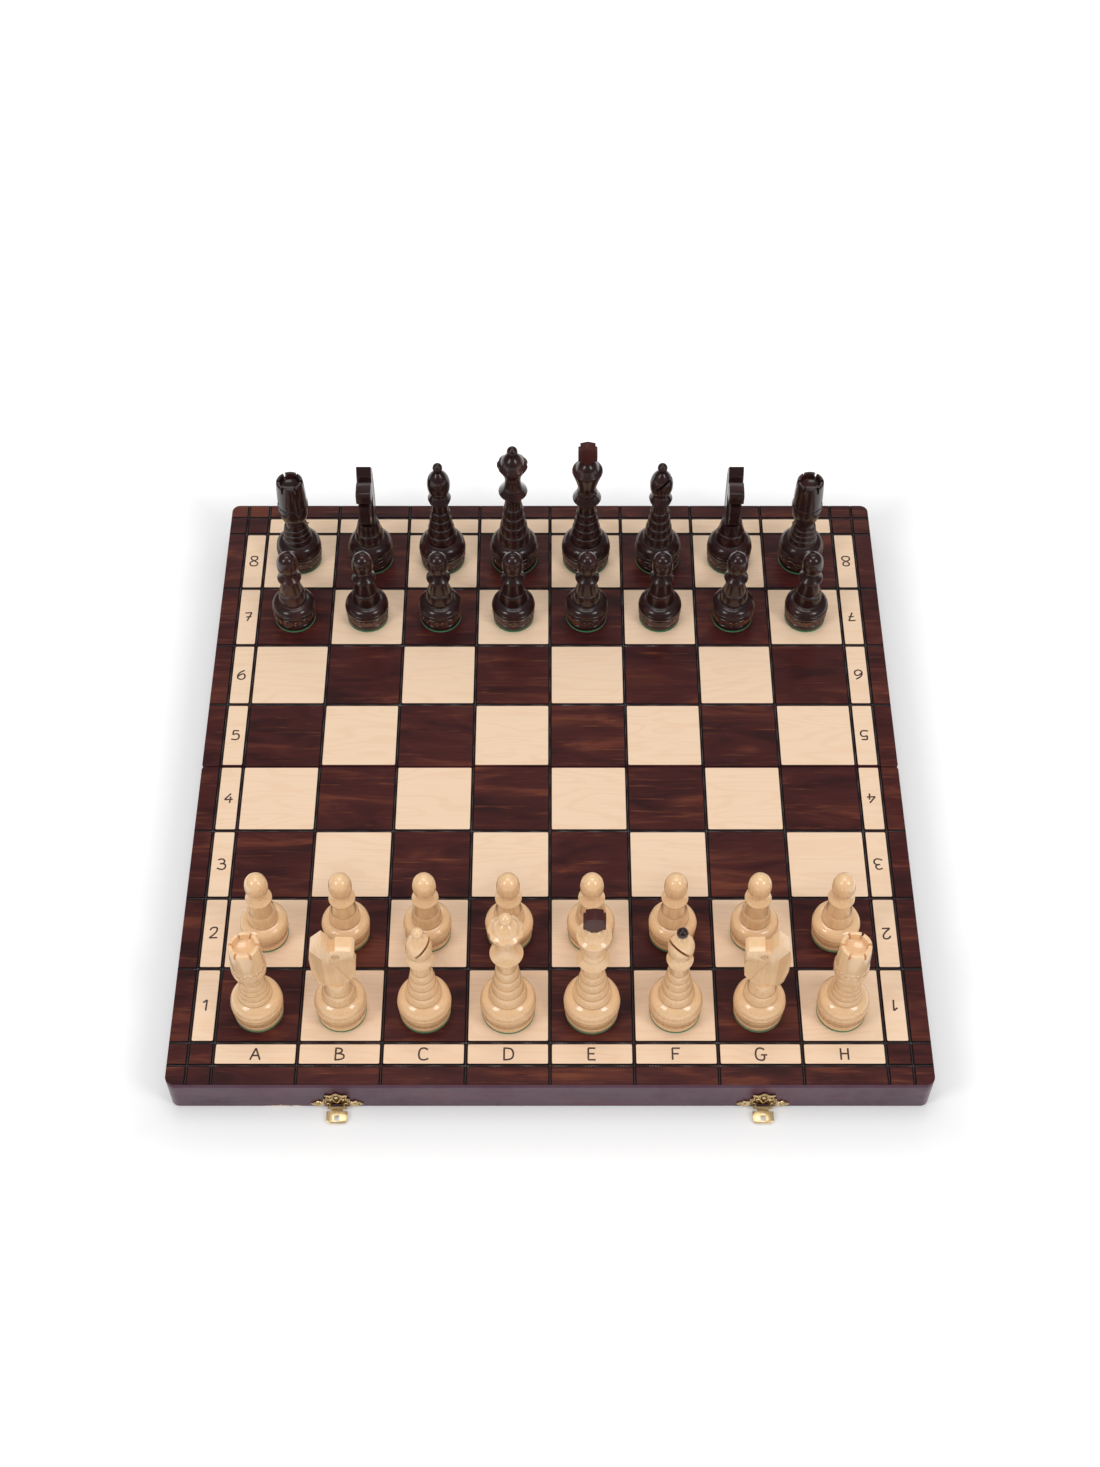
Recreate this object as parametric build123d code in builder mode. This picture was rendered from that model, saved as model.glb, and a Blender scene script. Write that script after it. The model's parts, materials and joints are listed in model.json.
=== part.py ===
from build123d import *
import math
import os

# A folding chess set, standing open as a board on its rims.
# Millimetres, +Z up, +X towards the h file, +Y towards the dark men.
# The origin is on the fold line, in the plane of the rims that rest on the table.

# Board
square = 55.0              # pitch of the playing squares
strip = 16.5               # letter and number strip round the squares
border = 13.5              # outer border
panel_thickness = 5.0      # plywood playing surface of each half
wall_thickness = 10.0
wall_height = 27.0         # depth of each half below its panel
fold_gap = 0.5             # clearance between the halves when the board lies open
outer_corner_radius = 6.0
fold_corner_radius = 2.0
panel_edge_round = 1.0
groove_width = 2.2
groove_floor = 1.0
groove_depth = 0.8
fingers = 5                # finger joints at each corner of the frames

# Inside of each half
lining_thickness = 1.0
divider_thickness = 6.0
divider_height = 20.0
divider_chamfer = 1.5
divider_housing = 3.0      # how deep its ends are let into the side walls
officers_bay = 136.0       # the rest of each half, beyond the divider, holds the pawns

# Butt hinges, let into the rims of the two fold walls
hinge_offset = 150.0       # each hinge's middle from the board's middle
hinge_length = 30.0
hinge_knuckles = 5
hinge_leaf_width = 9.0     # from the pin's axis to the leaf's far edge
hinge_leaf_thickness = 0.8
hinge_knuckle_radius = 1.3
hinge_pin_radius = 0.6
hinge_screw_spacing = 18.0
hinge_screw_from_axis = 5.6
leaf_tuck = 0.9            # the leaf stops this far from the pin's axis, inside its knuckles

# Clasps on the front wall, and the studs that they hook over
clasp_offset = 140.0
clasp_sheet = 0.8
clasp_half_width = 17.6
clasp_top = 20.5
clasp_bottom = 0.3
clasp_axis_height = 2.2
clasp_knuckle_radius = 1.15
clasp_pin_radius = 0.5
clasp_screw_from_middle = 13.0
clasp_screw_height = 4.4
flap_width = 14.0
flap_length = 11.0
flap_rest_tilt = 82.0      # degrees that the open flap stands out from hanging straight down
flap_knuckle_length = 8.0
flap_slot_width = 4.0
flap_slot_length = 4.2
flap_corner_start = 3.0    # the flap's rounded end starts this far from its tip
lug_length = 2.2
catch_width = 13.0
catch_height = 8.6
catch_corner_radius = 1.5
catch_stud_height = 5.2    # the stud's axis above the rim
catch_stud_radius = 0.9
catch_stud_past_flap = 1.0
catch_bulb_radius = 1.5
catch_screw_from_middle = 4.4

# Wood screws
screw_shank_radius = 0.75
screw_head_radius = 1.5
screw_head_height = 0.7    # of the round-headed ones
screw_head_taper = 28.0
screw_reach = 6.3          # shank with its head's thickness, or the sheet's
pilot_depth = 7.0

# Clearances
running_clearance = 0.05   # round each hinge pin
pilot_clearance = 0.05     # round each screw's shank
knuckle_clearance = 0.25   # round the hinge knuckles
sheet_clearance = 0.2      # between moving clasp parts
knuckle_gap = 0.2          # between neighbouring knuckles

# Chessmen: overall height, head from the top of the rings upwards, and foot radius
felt_thickness = 1.0
felt_inset = 0.35
king_height = 126.0
queen_height = 123.5
bishop_height = 106.0
knight_height = 97.0
rook_height = 88.0
pawn_height = 72.0
king_head = 62.5
queen_head = 54.0
bishop_head = 41.5
knight_head = 53.0
rook_head = 43.5
pawn_head = 29.0
king_foot = 18.6
queen_foot = 18.5
bishop_foot = 17.8
knight_foot = 17.2
rook_foot = 17.2
pawn_foot = 16.2
foot_bead = 2.6            # height of the bead at the very foot
band_height = 4.2          # burnt ornament band above it
band_groove = 0.6
groove_cut = 0.7           # depth of the grooves beside the band
officer_shoulder = 11.8    # height of the round shoulder above the band
pawn_shoulder = 8.0
shoulder_inset = 4.6       # how far the shoulder draws in under the rings
ring_undercut = 0.8        # how far each ring's lip stands out over the ring below
lip_thickness = 0.5
rook_slots = 6
rook_slot_width = 2.2
rook_slot_depth = 5.0
knight_plate = 11.0        # thickness of the knight's sawn head
knight_chest_cut = 1.5
bishop_cut = 0.9
bishop_cut_length = 15.0
bishop_ball_radius = 4.2
queen_ball_radius = 4.4
queen_flutes = 9
queen_flute_radius = 4.1
queen_flute_length = 12.0
cross_height = 16.5
cross_thickness = 8.0
white_rank_shift = -4.0    # the white back rank stands a little towards the player
black_rank_shift = 2.5     # and the dark one a little away from them

# Worked out from the sizes above
board = 8 * square + 2 * (strip + border)
half_board = board / 2
fold_face = fold_gap / 2
inner_edge = half_board - wall_thickness
board_top = wall_height + panel_thickness
finger_height = wall_height / fingers
lining_underside = wall_height - lining_thickness
clasp_axis_out = clasp_sheet + clasp_knuckle_radius + sheet_clearance
divider_place = inner_edge - officers_bay - divider_thickness / 2

os.makedirs("parts", exist_ok=True)


def write(shape, name):
    shape.label = name
    export_step(shape, f"parts/{name}.step")


# The two halves of the case. side is -1 for the front half and 1 for the back half.

def panel(side):
    """Plywood playing surface, with the ruled grooves rolled into its top."""
    depth = half_board - fold_face
    with BuildPart() as sheet:
        with Locations((0, side * (fold_face + depth / 2), wall_height + panel_thickness / 2)):
            Box(board, depth, panel_thickness)
        upright = sheet.edges().filter_by(Axis.Z).sort_by(lambda e: side * e.center().Y)
        fillet(upright[2:], outer_corner_radius)
        fillet(upright[:2], fold_corner_radius)
        fillet(sheet.faces().sort_by(Axis.Z)[-1].outer_wire().edges(), panel_edge_round)
        ruled = [i * square for i in range(5)] + [4 * square + strip]
        rows = [side * y for y in ruled[1:]]
        columns = sorted({x for r in ruled for x in (-r, r)})
        with BuildSketch(Plane.YZ.offset(-half_board - 1)):
            with Locations(*[(y, board_top) for y in rows]):
                Polygon(*groove_section(), align=None)
        extrude(amount=board + 2, mode=Mode.SUBTRACT)
        with BuildSketch(Plane.XZ.offset(-half_board - 1)):
            with Locations(*[(x, board_top) for x in columns]):
                Polygon(*groove_section(), align=None)
        extrude(amount=board + 2, mode=Mode.SUBTRACT)
    return sheet.part


def groove_section():
    """Tapered groove, drawn about the surface that it is cut into."""
    above = 0.5
    flare = (groove_width - groove_floor) / 2 / groove_depth * above
    wide = groove_width / 2 + flare
    return [(-groove_floor / 2, -groove_depth), (groove_floor / 2, -groove_depth),
            (wide, above), (-wide, above)]


def finger_slots(x_places, y_places, kept):
    """Cuts away, at each corner block, the fingers that belong to the other wall."""
    slots = [(x, y, (k + 0.5) * finger_height)
             for x in x_places for y in y_places for k in range(fingers) if k not in kept]
    with Locations(*slots):
        Box(wall_thickness, wall_thickness, finger_height, mode=Mode.SUBTRACT)


even_fingers = range(0, fingers, 2)
odd_fingers = range(1, fingers, 2)
corner_x = half_board - wall_thickness / 2


def outer_wall(side, screws):
    """Long wall at the player's edge; it carries the clasps or their catches."""
    middle = side * (half_board - wall_thickness / 2)
    with BuildPart() as wall:
        with Locations((0, middle, wall_height / 2)):
            Box(board, wall_thickness, wall_height)
        upright = wall.edges().filter_by(Axis.Z).sort_by(lambda e: side * e.center().Y)
        fillet(upright[2:], outer_corner_radius)
        finger_slots((-corner_x, corner_x), (middle,), even_fingers)
        with Locations(*[Location((x, side * half_board, z), (-90 * side, 0, 0)) for x, z in screws]):
            Hole(screw_shank_radius + pilot_clearance, depth=pilot_depth)
    return wall.part


def fold_wall(side):
    """Long wall at the fold, mortised along its rim for the hinge leaves."""
    middle = side * (fold_face + wall_thickness / 2)
    with BuildPart() as wall:
        with Locations((0, middle, wall_height / 2)):
            Box(board, wall_thickness, wall_height)
        upright = wall.edges().filter_by(Axis.Z).sort_by(lambda e: side * e.center().Y)
        fillet(upright[:2], fold_corner_radius)
        finger_slots((-corner_x, corner_x), (middle,), even_fingers)
        with Locations(*[(x, side * hinge_leaf_width / 2, hinge_leaf_thickness / 2) for x in hinge_places]):
            Box(hinge_length, hinge_leaf_width, hinge_leaf_thickness, mode=Mode.SUBTRACT)
        with Locations(*[Location((x, 0, 0), (0, 90, 0)) for x in hinge_places]):
            Cylinder(hinge_knuckle_radius + knuckle_clearance, hinge_length, mode=Mode.SUBTRACT)
        with Locations(*[Location((x, y, 0), (180, 0, 0)) for x, y in hinge_screw_places(side)]):
            Hole(screw_shank_radius + pilot_clearance, depth=pilot_depth)
    return wall.part


def side_wall(side, end):
    """Short wall at the left (end -1) or right (end 1) of a half."""
    depth = half_board - fold_face
    with BuildPart() as wall:
        with Locations((end * corner_x, side * (fold_face + depth / 2), wall_height / 2)):
            Box(wall_thickness, depth, wall_height)
        upright = wall.edges().filter_by(Axis.Z).sort_by(lambda e: end * e.center().X)[2:]
        upright = upright.sort_by(lambda e: side * e.center().Y)
        fillet(upright[1], outer_corner_radius)
        fillet(upright[0], fold_corner_radius)
        ends = (side * (fold_face + wall_thickness / 2), side * (half_board - wall_thickness / 2))
        finger_slots((end * corner_x,), ends, odd_fingers)
        with Locations((end * (inner_edge + divider_housing / 2), side * divider_place,
                        lining_underside - divider_height / 2)):
            Box(divider_housing, divider_thickness, divider_height, mode=Mode.SUBTRACT)
    return wall.part


def lining(side):
    """Sheet of felt glued under the panel, between the walls."""
    depth = inner_edge - fold_face - wall_thickness
    with BuildPart() as sheet:
        with Locations((0, side * (fold_face + wall_thickness + depth / 2),
                        lining_underside + lining_thickness / 2)):
            Box(2 * inner_edge, depth, lining_thickness)
    return sheet.part


def divider(side):
    """Slat between the bay for the officers and the bay for the pawns, housed in the side walls."""
    with BuildPart() as slat:
        with Locations((0, side * divider_place, lining_underside - divider_height / 2)):
            Box(2 * (inner_edge + divider_housing), divider_thickness, divider_height)
        chamfer(slat.faces().sort_by(Axis.Z)[0].edges().filter_by(Axis.X), divider_chamfer)
    return slat.part


# Hinges and screws

hinge_places = (-hinge_offset, hinge_offset)
knuckle_pitch = hinge_length / hinge_knuckles


def hinge_screw_places(side):
    return [(x + dx, side * hinge_screw_from_axis)
            for x in hinge_places for dx in (-hinge_screw_spacing / 2, hinge_screw_spacing / 2)]


def knuckle_middles(parity):
    start = -hinge_length / 2 + knuckle_pitch / 2
    return [start + k * knuckle_pitch for k in range(hinge_knuckles) if k % 2 == parity]


def hinge_leaves(side):
    """Both leaves of one half, each rolled round the pin at its own knuckles."""
    own = knuckle_middles(0 if side < 0 else 1)
    other = knuckle_middles(1 if side < 0 else 0)
    own_places = [Location((x + dx, 0, 0), (0, 90, 0)) for x in hinge_places for dx in own]
    plate_width = hinge_leaf_width - leaf_tuck
    relief = hinge_knuckle_radius + knuckle_clearance
    with BuildPart() as leaves:
        with Locations(*[(x, side * (leaf_tuck + plate_width / 2), hinge_leaf_thickness / 2)
                         for x in hinge_places]):
            Box(hinge_length, plate_width, hinge_leaf_thickness)
        with Locations(*[(x + dx, side * relief / 2, 0) for x in hinge_places for dx in other]):
            Box(knuckle_pitch, relief, 4 * hinge_leaf_thickness, mode=Mode.SUBTRACT)
        with Locations(*own_places):
            Cylinder(hinge_knuckle_radius, knuckle_pitch - knuckle_gap)
            Cylinder(hinge_pin_radius + running_clearance, knuckle_pitch, mode=Mode.SUBTRACT)
        with Locations(*[Location((x, y, 0), (180, 0, 0)) for x, y in hinge_screw_places(side)]):
            CounterSinkHole(screw_shank_radius + pilot_clearance, screw_head_radius + pilot_clearance,
                            depth=hinge_leaf_thickness, counter_sink_angle=countersink_angle)
    return leaves.part


countersink_angle = 2 * math.degrees(math.atan((screw_head_radius - screw_shank_radius) / hinge_leaf_thickness))


def hinge_pins():
    with BuildPart() as pins:
        with Locations(*[Location((x, 0, 0), (0, 90, 0)) for x in hinge_places]):
            Cylinder(hinge_pin_radius, hinge_length)
    return pins.part


def countersunk_screws(places):
    """Flush screws, their heads down at the rim."""
    with BuildPart() as screws:
        with Locations(*[(x, y, hinge_leaf_thickness / 2) for x, y in places]):
            Cone(screw_head_radius, screw_shank_radius, hinge_leaf_thickness)
        with Locations(*[(x, y, screw_reach / 2) for x, y in places]):
            Cylinder(screw_shank_radius, screw_reach)
    return screws.part


def round_head_screws(places, side):
    """Small round-headed screws that hold clasp or catch to the outer wall."""
    face = side * (half_board + clasp_sheet)
    with BuildPart() as screws:
        with BuildSketch(Plane.XZ.offset(-face)):
            with Locations(*places):
                Circle(screw_head_radius)
        extrude(amount=-side * screw_head_height, taper=screw_head_taper)
        with BuildSketch(Plane.XZ.offset(-face)):
            with Locations(*places):
                Circle(screw_shank_radius)
        extrude(amount=side * screw_reach)
    return screws.part


# Clasps

clasp_places = (-clasp_offset, clasp_offset)
catch_places = [(x, catch_stud_height) for x in clasp_places]
clasp_screw_places = [(x + dx, clasp_screw_height) for x in clasp_places
                      for dx in (-clasp_screw_from_middle, clasp_screw_from_middle)]
catch_screw_places = [(x + dx, catch_stud_height) for x in clasp_places
                      for dx in (-catch_screw_from_middle, catch_screw_from_middle)]
file_places = [(i - 3.5) * square for i in range(8)]


def clasp_half_outline():
    """Right half of the stamped plate: an ear for the screw, a shoulder and a crown."""
    shoulder = clasp_top - 3.4
    ear = clasp_screw_height
    return [(0, clasp_top), (1.3, clasp_top - 2.0), (3.2, shoulder - 0.5), (6.6, shoulder),
            (6.0, shoulder - 2.6), (8.6, shoulder - 6.0), (8.2, ear + 2.6), (10.2, ear + 2.2),
            (12.8, ear + 4.4), (14.0, ear + 1.9), (clasp_half_width, ear),
            (14.4, ear - 1.8), (12.6, clasp_bottom), (8.0, clasp_bottom + 0.3)]


def clasp_plates():
    """Stamped plates with two lugs each, bent round the flap's pin."""
    right = clasp_half_outline()
    gap = flap_knuckle_length / 2 + sheet_clearance
    foot = clasp_axis_height + clasp_knuckle_radius + 0.5
    notch = [(gap, clasp_bottom + 0.3), (gap, foot)]
    left = [(-x, z) for x, z in reversed(right + notch)]
    outline = right + notch + left[:-1]
    axis_y = -half_board - clasp_axis_out
    lug_middle = gap + lug_length / 2
    with BuildPart() as plates:
        with BuildSketch(Plane.XZ.offset(half_board)):
            with Locations(*[(x, 0) for x in clasp_places]):
                Polygon(*outline, align=None)
            with Locations(*clasp_screw_places):
                Circle(screw_shank_radius + pilot_clearance, mode=Mode.SUBTRACT)
        extrude(amount=clasp_sheet)
        lugs = [Location((x + dx, axis_y, clasp_axis_height), (0, 90, 0))
                for x in clasp_places for dx in (-lug_middle, lug_middle)]
        with Locations(*lugs):
            Cylinder(clasp_knuckle_radius, lug_length)
        webs = [(x + dx, -half_board - clasp_axis_out / 2, clasp_axis_height)
                for x in clasp_places for dx in (-lug_middle, lug_middle)]
        with Locations(*webs):
            Box(lug_length, clasp_axis_out, 1.6 * clasp_knuckle_radius)
        with Locations(*lugs):
            Cylinder(clasp_pin_radius, lug_length, mode=Mode.SUBTRACT)
    return plates.part


def clasp_flap(x):
    """Hinged tongue with a slot for the stud; it rests swung out, just above the table."""
    tilt = math.radians(flap_rest_tilt)
    down = Vector(0, -math.sin(tilt), -math.cos(tilt))
    out = Vector(0, -math.cos(tilt), math.sin(tilt))
    pin = Vector(x, -half_board - clasp_axis_out, clasp_axis_height)
    slot_middle = clasp_axis_height + catch_stud_height
    neck = flap_knuckle_length - 2 * knuckle_gap
    root = clasp_knuckle_radius + 1.6
    leaf = Plane(origin=pin - out * (clasp_sheet / 2), x_dir=(1, 0, 0), z_dir=out)
    along = -leaf.y_dir.dot(down)
    sign = -1 if along > 0 else 1
    with BuildPart() as flap:
        with BuildSketch(leaf):
            with BuildLine():
                Polyline((-neck / 2, 0), (neck / 2, 0), (neck / 2, sign * root),
                         (flap_width / 2, sign * root),
                         (flap_width / 2, sign * (flap_length - flap_corner_start)))
                ThreePointArc((flap_width / 2, sign * (flap_length - flap_corner_start)),
                              (0, sign * flap_length),
                              (-flap_width / 2, sign * (flap_length - flap_corner_start)))
                Polyline((-flap_width / 2, sign * (flap_length - flap_corner_start)),
                         (-flap_width / 2, sign * root), (-neck / 2, sign * root), (-neck / 2, 0))
            make_face()
            with Locations((0, sign * slot_middle)):
                Rectangle(flap_slot_width, flap_slot_length, mode=Mode.SUBTRACT)
        extrude(amount=clasp_sheet)
        with Locations(Location(pin, (0, 90, 0))):
            Cylinder(clasp_knuckle_radius, flap_knuckle_length)
            Cylinder(clasp_pin_radius + running_clearance, flap_knuckle_length, mode=Mode.SUBTRACT)
    return flap.part


def clasp_pins():
    length = flap_knuckle_length + 2 * (sheet_clearance + lug_length)
    with BuildPart() as pins:
        with Locations(*[Location((x, -half_board - clasp_axis_out, clasp_axis_height), (0, 90, 0))
                         for x in clasp_places]):
            Cylinder(clasp_pin_radius, length)
    return pins.part


def catch_plates():
    """Plates on the back half, each with a round-headed stud for the flap's slot."""
    stud_length = clasp_axis_out + catch_stud_past_flap
    with BuildPart() as plates:
        with BuildSketch(Plane.XZ.offset(-half_board)):
            with Locations(*catch_places):
                RectangleRounded(catch_width, catch_height, catch_corner_radius)
            with Locations(*catch_screw_places):
                Circle(screw_shank_radius + pilot_clearance, mode=Mode.SUBTRACT)
        extrude(amount=-clasp_sheet)
        with Locations(*[Location((x, half_board + stud_length / 2, z), (90, 0, 0)) for x, z in catch_places]):
            Cylinder(catch_stud_radius, stud_length)
        with Locations(*[(x, half_board + stud_length, z) for x, z in catch_places]):
            Sphere(catch_bulb_radius)
    return plates.part


# Chessmen, each turned about +Z on its own origin

shoulder_base = felt_thickness + foot_bead + band_height + 2 * band_groove


def above(height, *points):
    """Profile points given as radius and height above a level."""
    return [(radius, height + rise) for radius, rise in points]


def draw_foot(foot, shoulder):
    """Foot bead, burnt band between two grooves and the round shoulder; returns its top."""
    bead_top = felt_thickness + foot_bead
    band_top = shoulder_base - band_groove
    shelf = (foot - shoulder_inset, shoulder_base + shoulder)
    Polyline((0, felt_thickness), (foot - 0.7, felt_thickness), (foot, felt_thickness + 0.7),
             (foot, bead_top - 0.5), (foot - groove_cut - 0.2, bead_top + band_groove / 2),
             (foot - 0.3, bead_top + band_groove), (foot - 0.3, band_top),
             (foot - groove_cut - 0.2, band_top + band_groove / 2), (foot - 0.2, shoulder_base))
    ThreePointArc((foot - 0.2, shoulder_base), (foot - 0.7, shoulder_base + 0.55 * shoulder), shelf)
    return shelf


def draw_rings(count, shelf, narrowest, top):
    """Stack of flared rings, each with its lip out over the ring below, up to the neck at top."""
    lowest = shelf[0] - 1.0
    pitch = (top[1] - shelf[1]) / (count + 0.25)
    here = shelf
    for k in range(count):
        radius = lowest + (narrowest - lowest) * (k / (count - 1)) ** 0.8
        height = shelf[1] + pitch * (k + 0.25)
        following = lowest + (narrowest - lowest) * ((k + 1) / (count - 1)) ** 0.8
        waist = (following - ring_undercut, height + pitch) if k + 1 < count else top
        Polyline(here, (radius, height), (radius, height + lip_thickness), waist)
        here = waist


def felt_disc(foot):
    with BuildPart() as felt:
        with Locations((0, 0, felt_thickness / 2)):
            Cylinder(foot - felt_inset, felt_thickness)
    return felt.part


def pawn():
    neck = (6.3, pawn_height - pawn_head)
    cap_radius = 7.3
    cap_middle = pawn_height - cap_radius
    cap_angle = 15
    cap_start = (cap_radius * math.cos(math.radians(cap_angle)),
                 cap_middle + cap_radius * math.sin(math.radians(cap_angle)))
    throat, cheek, widest, temple = above(neck[1], (4.9, 8.0), (7.1, 12.6), (7.8, 17.6), (7.6, 20.8))
    with BuildPart() as man:
        with BuildSketch(Plane.XZ):
            with BuildLine():
                shelf = draw_foot(pawn_foot, pawn_shoulder)
                draw_rings(2, shelf, 8.7, neck)
                Polyline(neck, *above(neck[1], (8.6, 2.4), (9.2, 3.6), (8.9, 4.8)), throat)
                ThreePointArc(throat, cheek, widest)
                ThreePointArc(widest, temple, cap_start)
                CenterArc((0, cap_middle), cap_radius, cap_angle, 90 - cap_angle)
                Line((0, pawn_height), (0, felt_thickness))
            make_face()
        revolve(axis=Axis.Z)
    return [man.part, felt_disc(pawn_foot)]


def rook():
    neck = (7.2, rook_height - rook_head)
    tower_foot, widest, rim = above(neck[1], (11.6, 6.0), (12.2, 15.5), (10.9, rook_head - 0.6))
    bowl = above(rook_height, (10.3, 0), (8.0, 0), (7.6, -rook_slot_depth - 0.2),
                 (0, -rook_slot_depth - 1.4))
    with BuildPart() as man:
        with BuildSketch(Plane.XZ):
            with BuildLine():
                shelf = draw_foot(rook_foot, officer_shoulder)
                draw_rings(3, shelf, 8.6, neck)
                Line(neck, tower_foot)
                ThreePointArc(tower_foot, widest, rim)
                Polyline(rim, *bowl, (0, felt_thickness))
            make_face()
        revolve(axis=Axis.Z)
        with Locations((0, 0, rook_height - rook_slot_depth / 2)):
            with PolarLocations(0, rook_slots // 2, angular_range=180):
                Box(2 * rook_foot, rook_slot_width, rook_slot_depth, mode=Mode.SUBTRACT)
    return [man.part, felt_disc(rook_foot)]


def knight():
    saddle = knight_height - knight_head
    neck = (7.6, saddle)
    head = above(saddle, (-10.0, 0), (4.5, 0), (13.2, 11.0), (14.2, 25.0), (11.6, 30.6), (-0.6, 30.0),
                 (12.6, 32.6), (14.2, 34.6), (14.6, 42.4), (13.0, 44.2), (2.4, 45.0), (1.2, 42.2),
                 (-1.6, 41.6), (-3.4, 46.2), (-7.8, knight_head), (-16.2, 43.4), (-17.0, 18.5),
                 (-14.6, 5.0))
    chest = above(saddle, (-0.6, 29.8), (16.0, 29.8), (16.0, 10.0), (12.4, 10.0))
    with BuildPart() as man:
        with BuildSketch(Plane.XZ):
            with BuildLine():
                shelf = draw_foot(knight_foot, officer_shoulder)
                draw_rings(2, shelf, 9.6, neck)
                Polyline(neck, (0, saddle), (0, felt_thickness))
            make_face()
        revolve(axis=Axis.Z)
        with BuildSketch(Plane.XZ):
            Polygon(*head, align=None)
        extrude(amount=knight_plate / 2, both=True)
        for flank in (-1, 1):
            with BuildSketch(Plane.XZ.offset(flank * knight_plate / 2)):
                Polygon(*chest, align=None)
            extrude(amount=-flank * knight_chest_cut, mode=Mode.SUBTRACT)
    return [man.part, felt_disc(knight_foot)]


bishop_seat = bishop_height - 2 * bishop_ball_radius - 0.2
queen_seat = queen_height - 2 * queen_ball_radius + 0.7
cross_seat = king_height - cross_height


def bishop(with_ball):
    """The ball on the mitre is turned in one with it, or is a piece of its own."""
    neck = (5.7, bishop_height - bishop_head)
    mitre, cheek, widest, brow = above(neck[1], (6.0, 10.5), (8.0, 15.5), (8.5, 20.0), (6.9, 28.4))
    tip = (2.4, bishop_seat)
    with BuildPart() as man:
        with BuildSketch(Plane.XZ):
            with BuildLine():
                shelf = draw_foot(bishop_foot, officer_shoulder)
                draw_rings(5, shelf, 6.6, neck)
                Polyline(neck, *above(neck[1], (8.4, 2.1), (8.2, 3.3), (9.9, 4.9), (9.7, 6.4)), mitre)
                ThreePointArc(mitre, cheek, widest)
                ThreePointArc(widest, brow, tip)
                Polyline(tip, (0, bishop_seat), (0, felt_thickness))
            make_face()
        revolve(axis=Axis.Z)
        with Locations(Location((4.6, 0, widest[1] + 6.2), (0, 38, 0))):
            Box(bishop_cut, 2 * bishop_foot, bishop_cut_length, mode=Mode.SUBTRACT)
        if with_ball:
            with Locations((0, 0, bishop_height - bishop_ball_radius)):
                Sphere(bishop_ball_radius)
    return [man.part, felt_disc(bishop_foot)]


def bishop_ball():
    with BuildPart() as ball:
        with Locations((0, 0, bishop_height - bishop_ball_radius)):
            Sphere(bishop_ball_radius)
        split(bisect_by=Plane.XY.offset(bishop_seat), keep=Keep.TOP)
    return ball.part


def queen():
    neck = (5.9, queen_height - queen_head)
    waist_low, waist, waist_high = above(neck[1], (7.2, 13.4), (5.9, 20.0), (7.6, 28.0))
    *coronet, dome = above(neck[1], (12.3, 35.6), (12.3, 37.0), (9.0, 38.6), (6.6, 43.0))
    tip = (2.6, queen_seat)
    with BuildPart() as man:
        with BuildSketch(Plane.XZ):
            with BuildLine():
                shelf = draw_foot(queen_foot, officer_shoulder)
                draw_rings(5, shelf, 6.8, neck)
                Polyline(neck, *above(neck[1], (8.8, 4.6), (8.5, 5.8), (11.0, 7.2), (11.0, 8.8),
                                      (7.6, 12.4)), waist_low)
                ThreePointArc(waist_low, waist, waist_high)
                Polyline(waist_high, *coronet)
                ThreePointArc(coronet[-1], dome, tip)
                Polyline(tip, (0, queen_seat), (0, felt_thickness))
            make_face()
        revolve(axis=Axis.Z)
        with Locations((0, 0, coronet[1][1] - 2.0)):
            with PolarLocations(coronet[1][0] + queen_flute_radius - 1.2, queen_flutes):
                Cylinder(queen_flute_radius, queen_flute_length, mode=Mode.SUBTRACT)
        with Locations((0, 0, queen_height - queen_ball_radius)):
            Sphere(queen_ball_radius)
    return [man.part, felt_disc(queen_foot)]


def king():
    neck = (6.2, king_height - king_head)
    cup_foot, cup_side, cup_rim = above(neck[1], (6.7, 19.0), (9.6, 28.9), (11.9, 35.5))
    dome_foot, dome, tip = *above(neck[1], (8.6, 38.5), (6.6, 43.1)), (3.2, cross_seat)
    with BuildPart() as man:
        with BuildSketch(Plane.XZ):
            with BuildLine():
                shelf = draw_foot(king_foot, officer_shoulder)
                draw_rings(5, shelf, 7.1, neck)
                Polyline(neck, *above(neck[1], (9.0, 3.4), (8.6, 4.8), (10.8, 6.2), (10.8, 7.8),
                                      (7.4, 12.2), (7.2, 15.4), (6.5, 16.6)), cup_foot)
                ThreePointArc(cup_foot, cup_side, cup_rim)
                Polyline(cup_rim, (cup_rim[0] - 0.3, cup_rim[1] + 1.6), dome_foot)
                ThreePointArc(dome_foot, dome, tip)
                Polyline(tip, (0, cross_seat), (0, felt_thickness))
            make_face()
        revolve(axis=Axis.Z)
    return [man.part, felt_disc(king_foot)]


def king_cross():
    """Sawn cross with short broad arms and small notches between them."""
    right = above(cross_seat, (2.6, 0), (2.6, 1.0), (5.2, 2.8), (5.2, 3.4), (7.0, 3.4), (7.0, 11.4),
                  (5.4, 11.4), (5.6, cross_height - 1.6), (0, cross_height))
    left = [(-x, z) for x, z in reversed(right[:-1])]
    with BuildPart() as cross:
        with BuildSketch(Plane.XZ):
            Polygon(*right, *left, align=None)
        extrude(amount=cross_thickness / 2, both=True)
    return cross.part


# The case

halves = {"front": (-1, clasp_screw_places), "back": (1, catch_screw_places)}
for half, (side, screws) in halves.items():
    write(panel(side), f"{half}_top_panel")
    write(outer_wall(side, screws), f"{half}_outer_wall")
    write(fold_wall(side), f"{half}_fold_wall")
    write(side_wall(side, -1), f"{half}_left_wall")
    write(side_wall(side, 1), f"{half}_right_wall")
    write(lining(side), f"{half}_felt_lining")
    write(divider(side), f"{half}_divider")
    write(hinge_leaves(side), f"{half}_hinge_leaves")
    write(countersunk_screws(hinge_screw_places(side)), f"{half}_hinge_screws")

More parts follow.
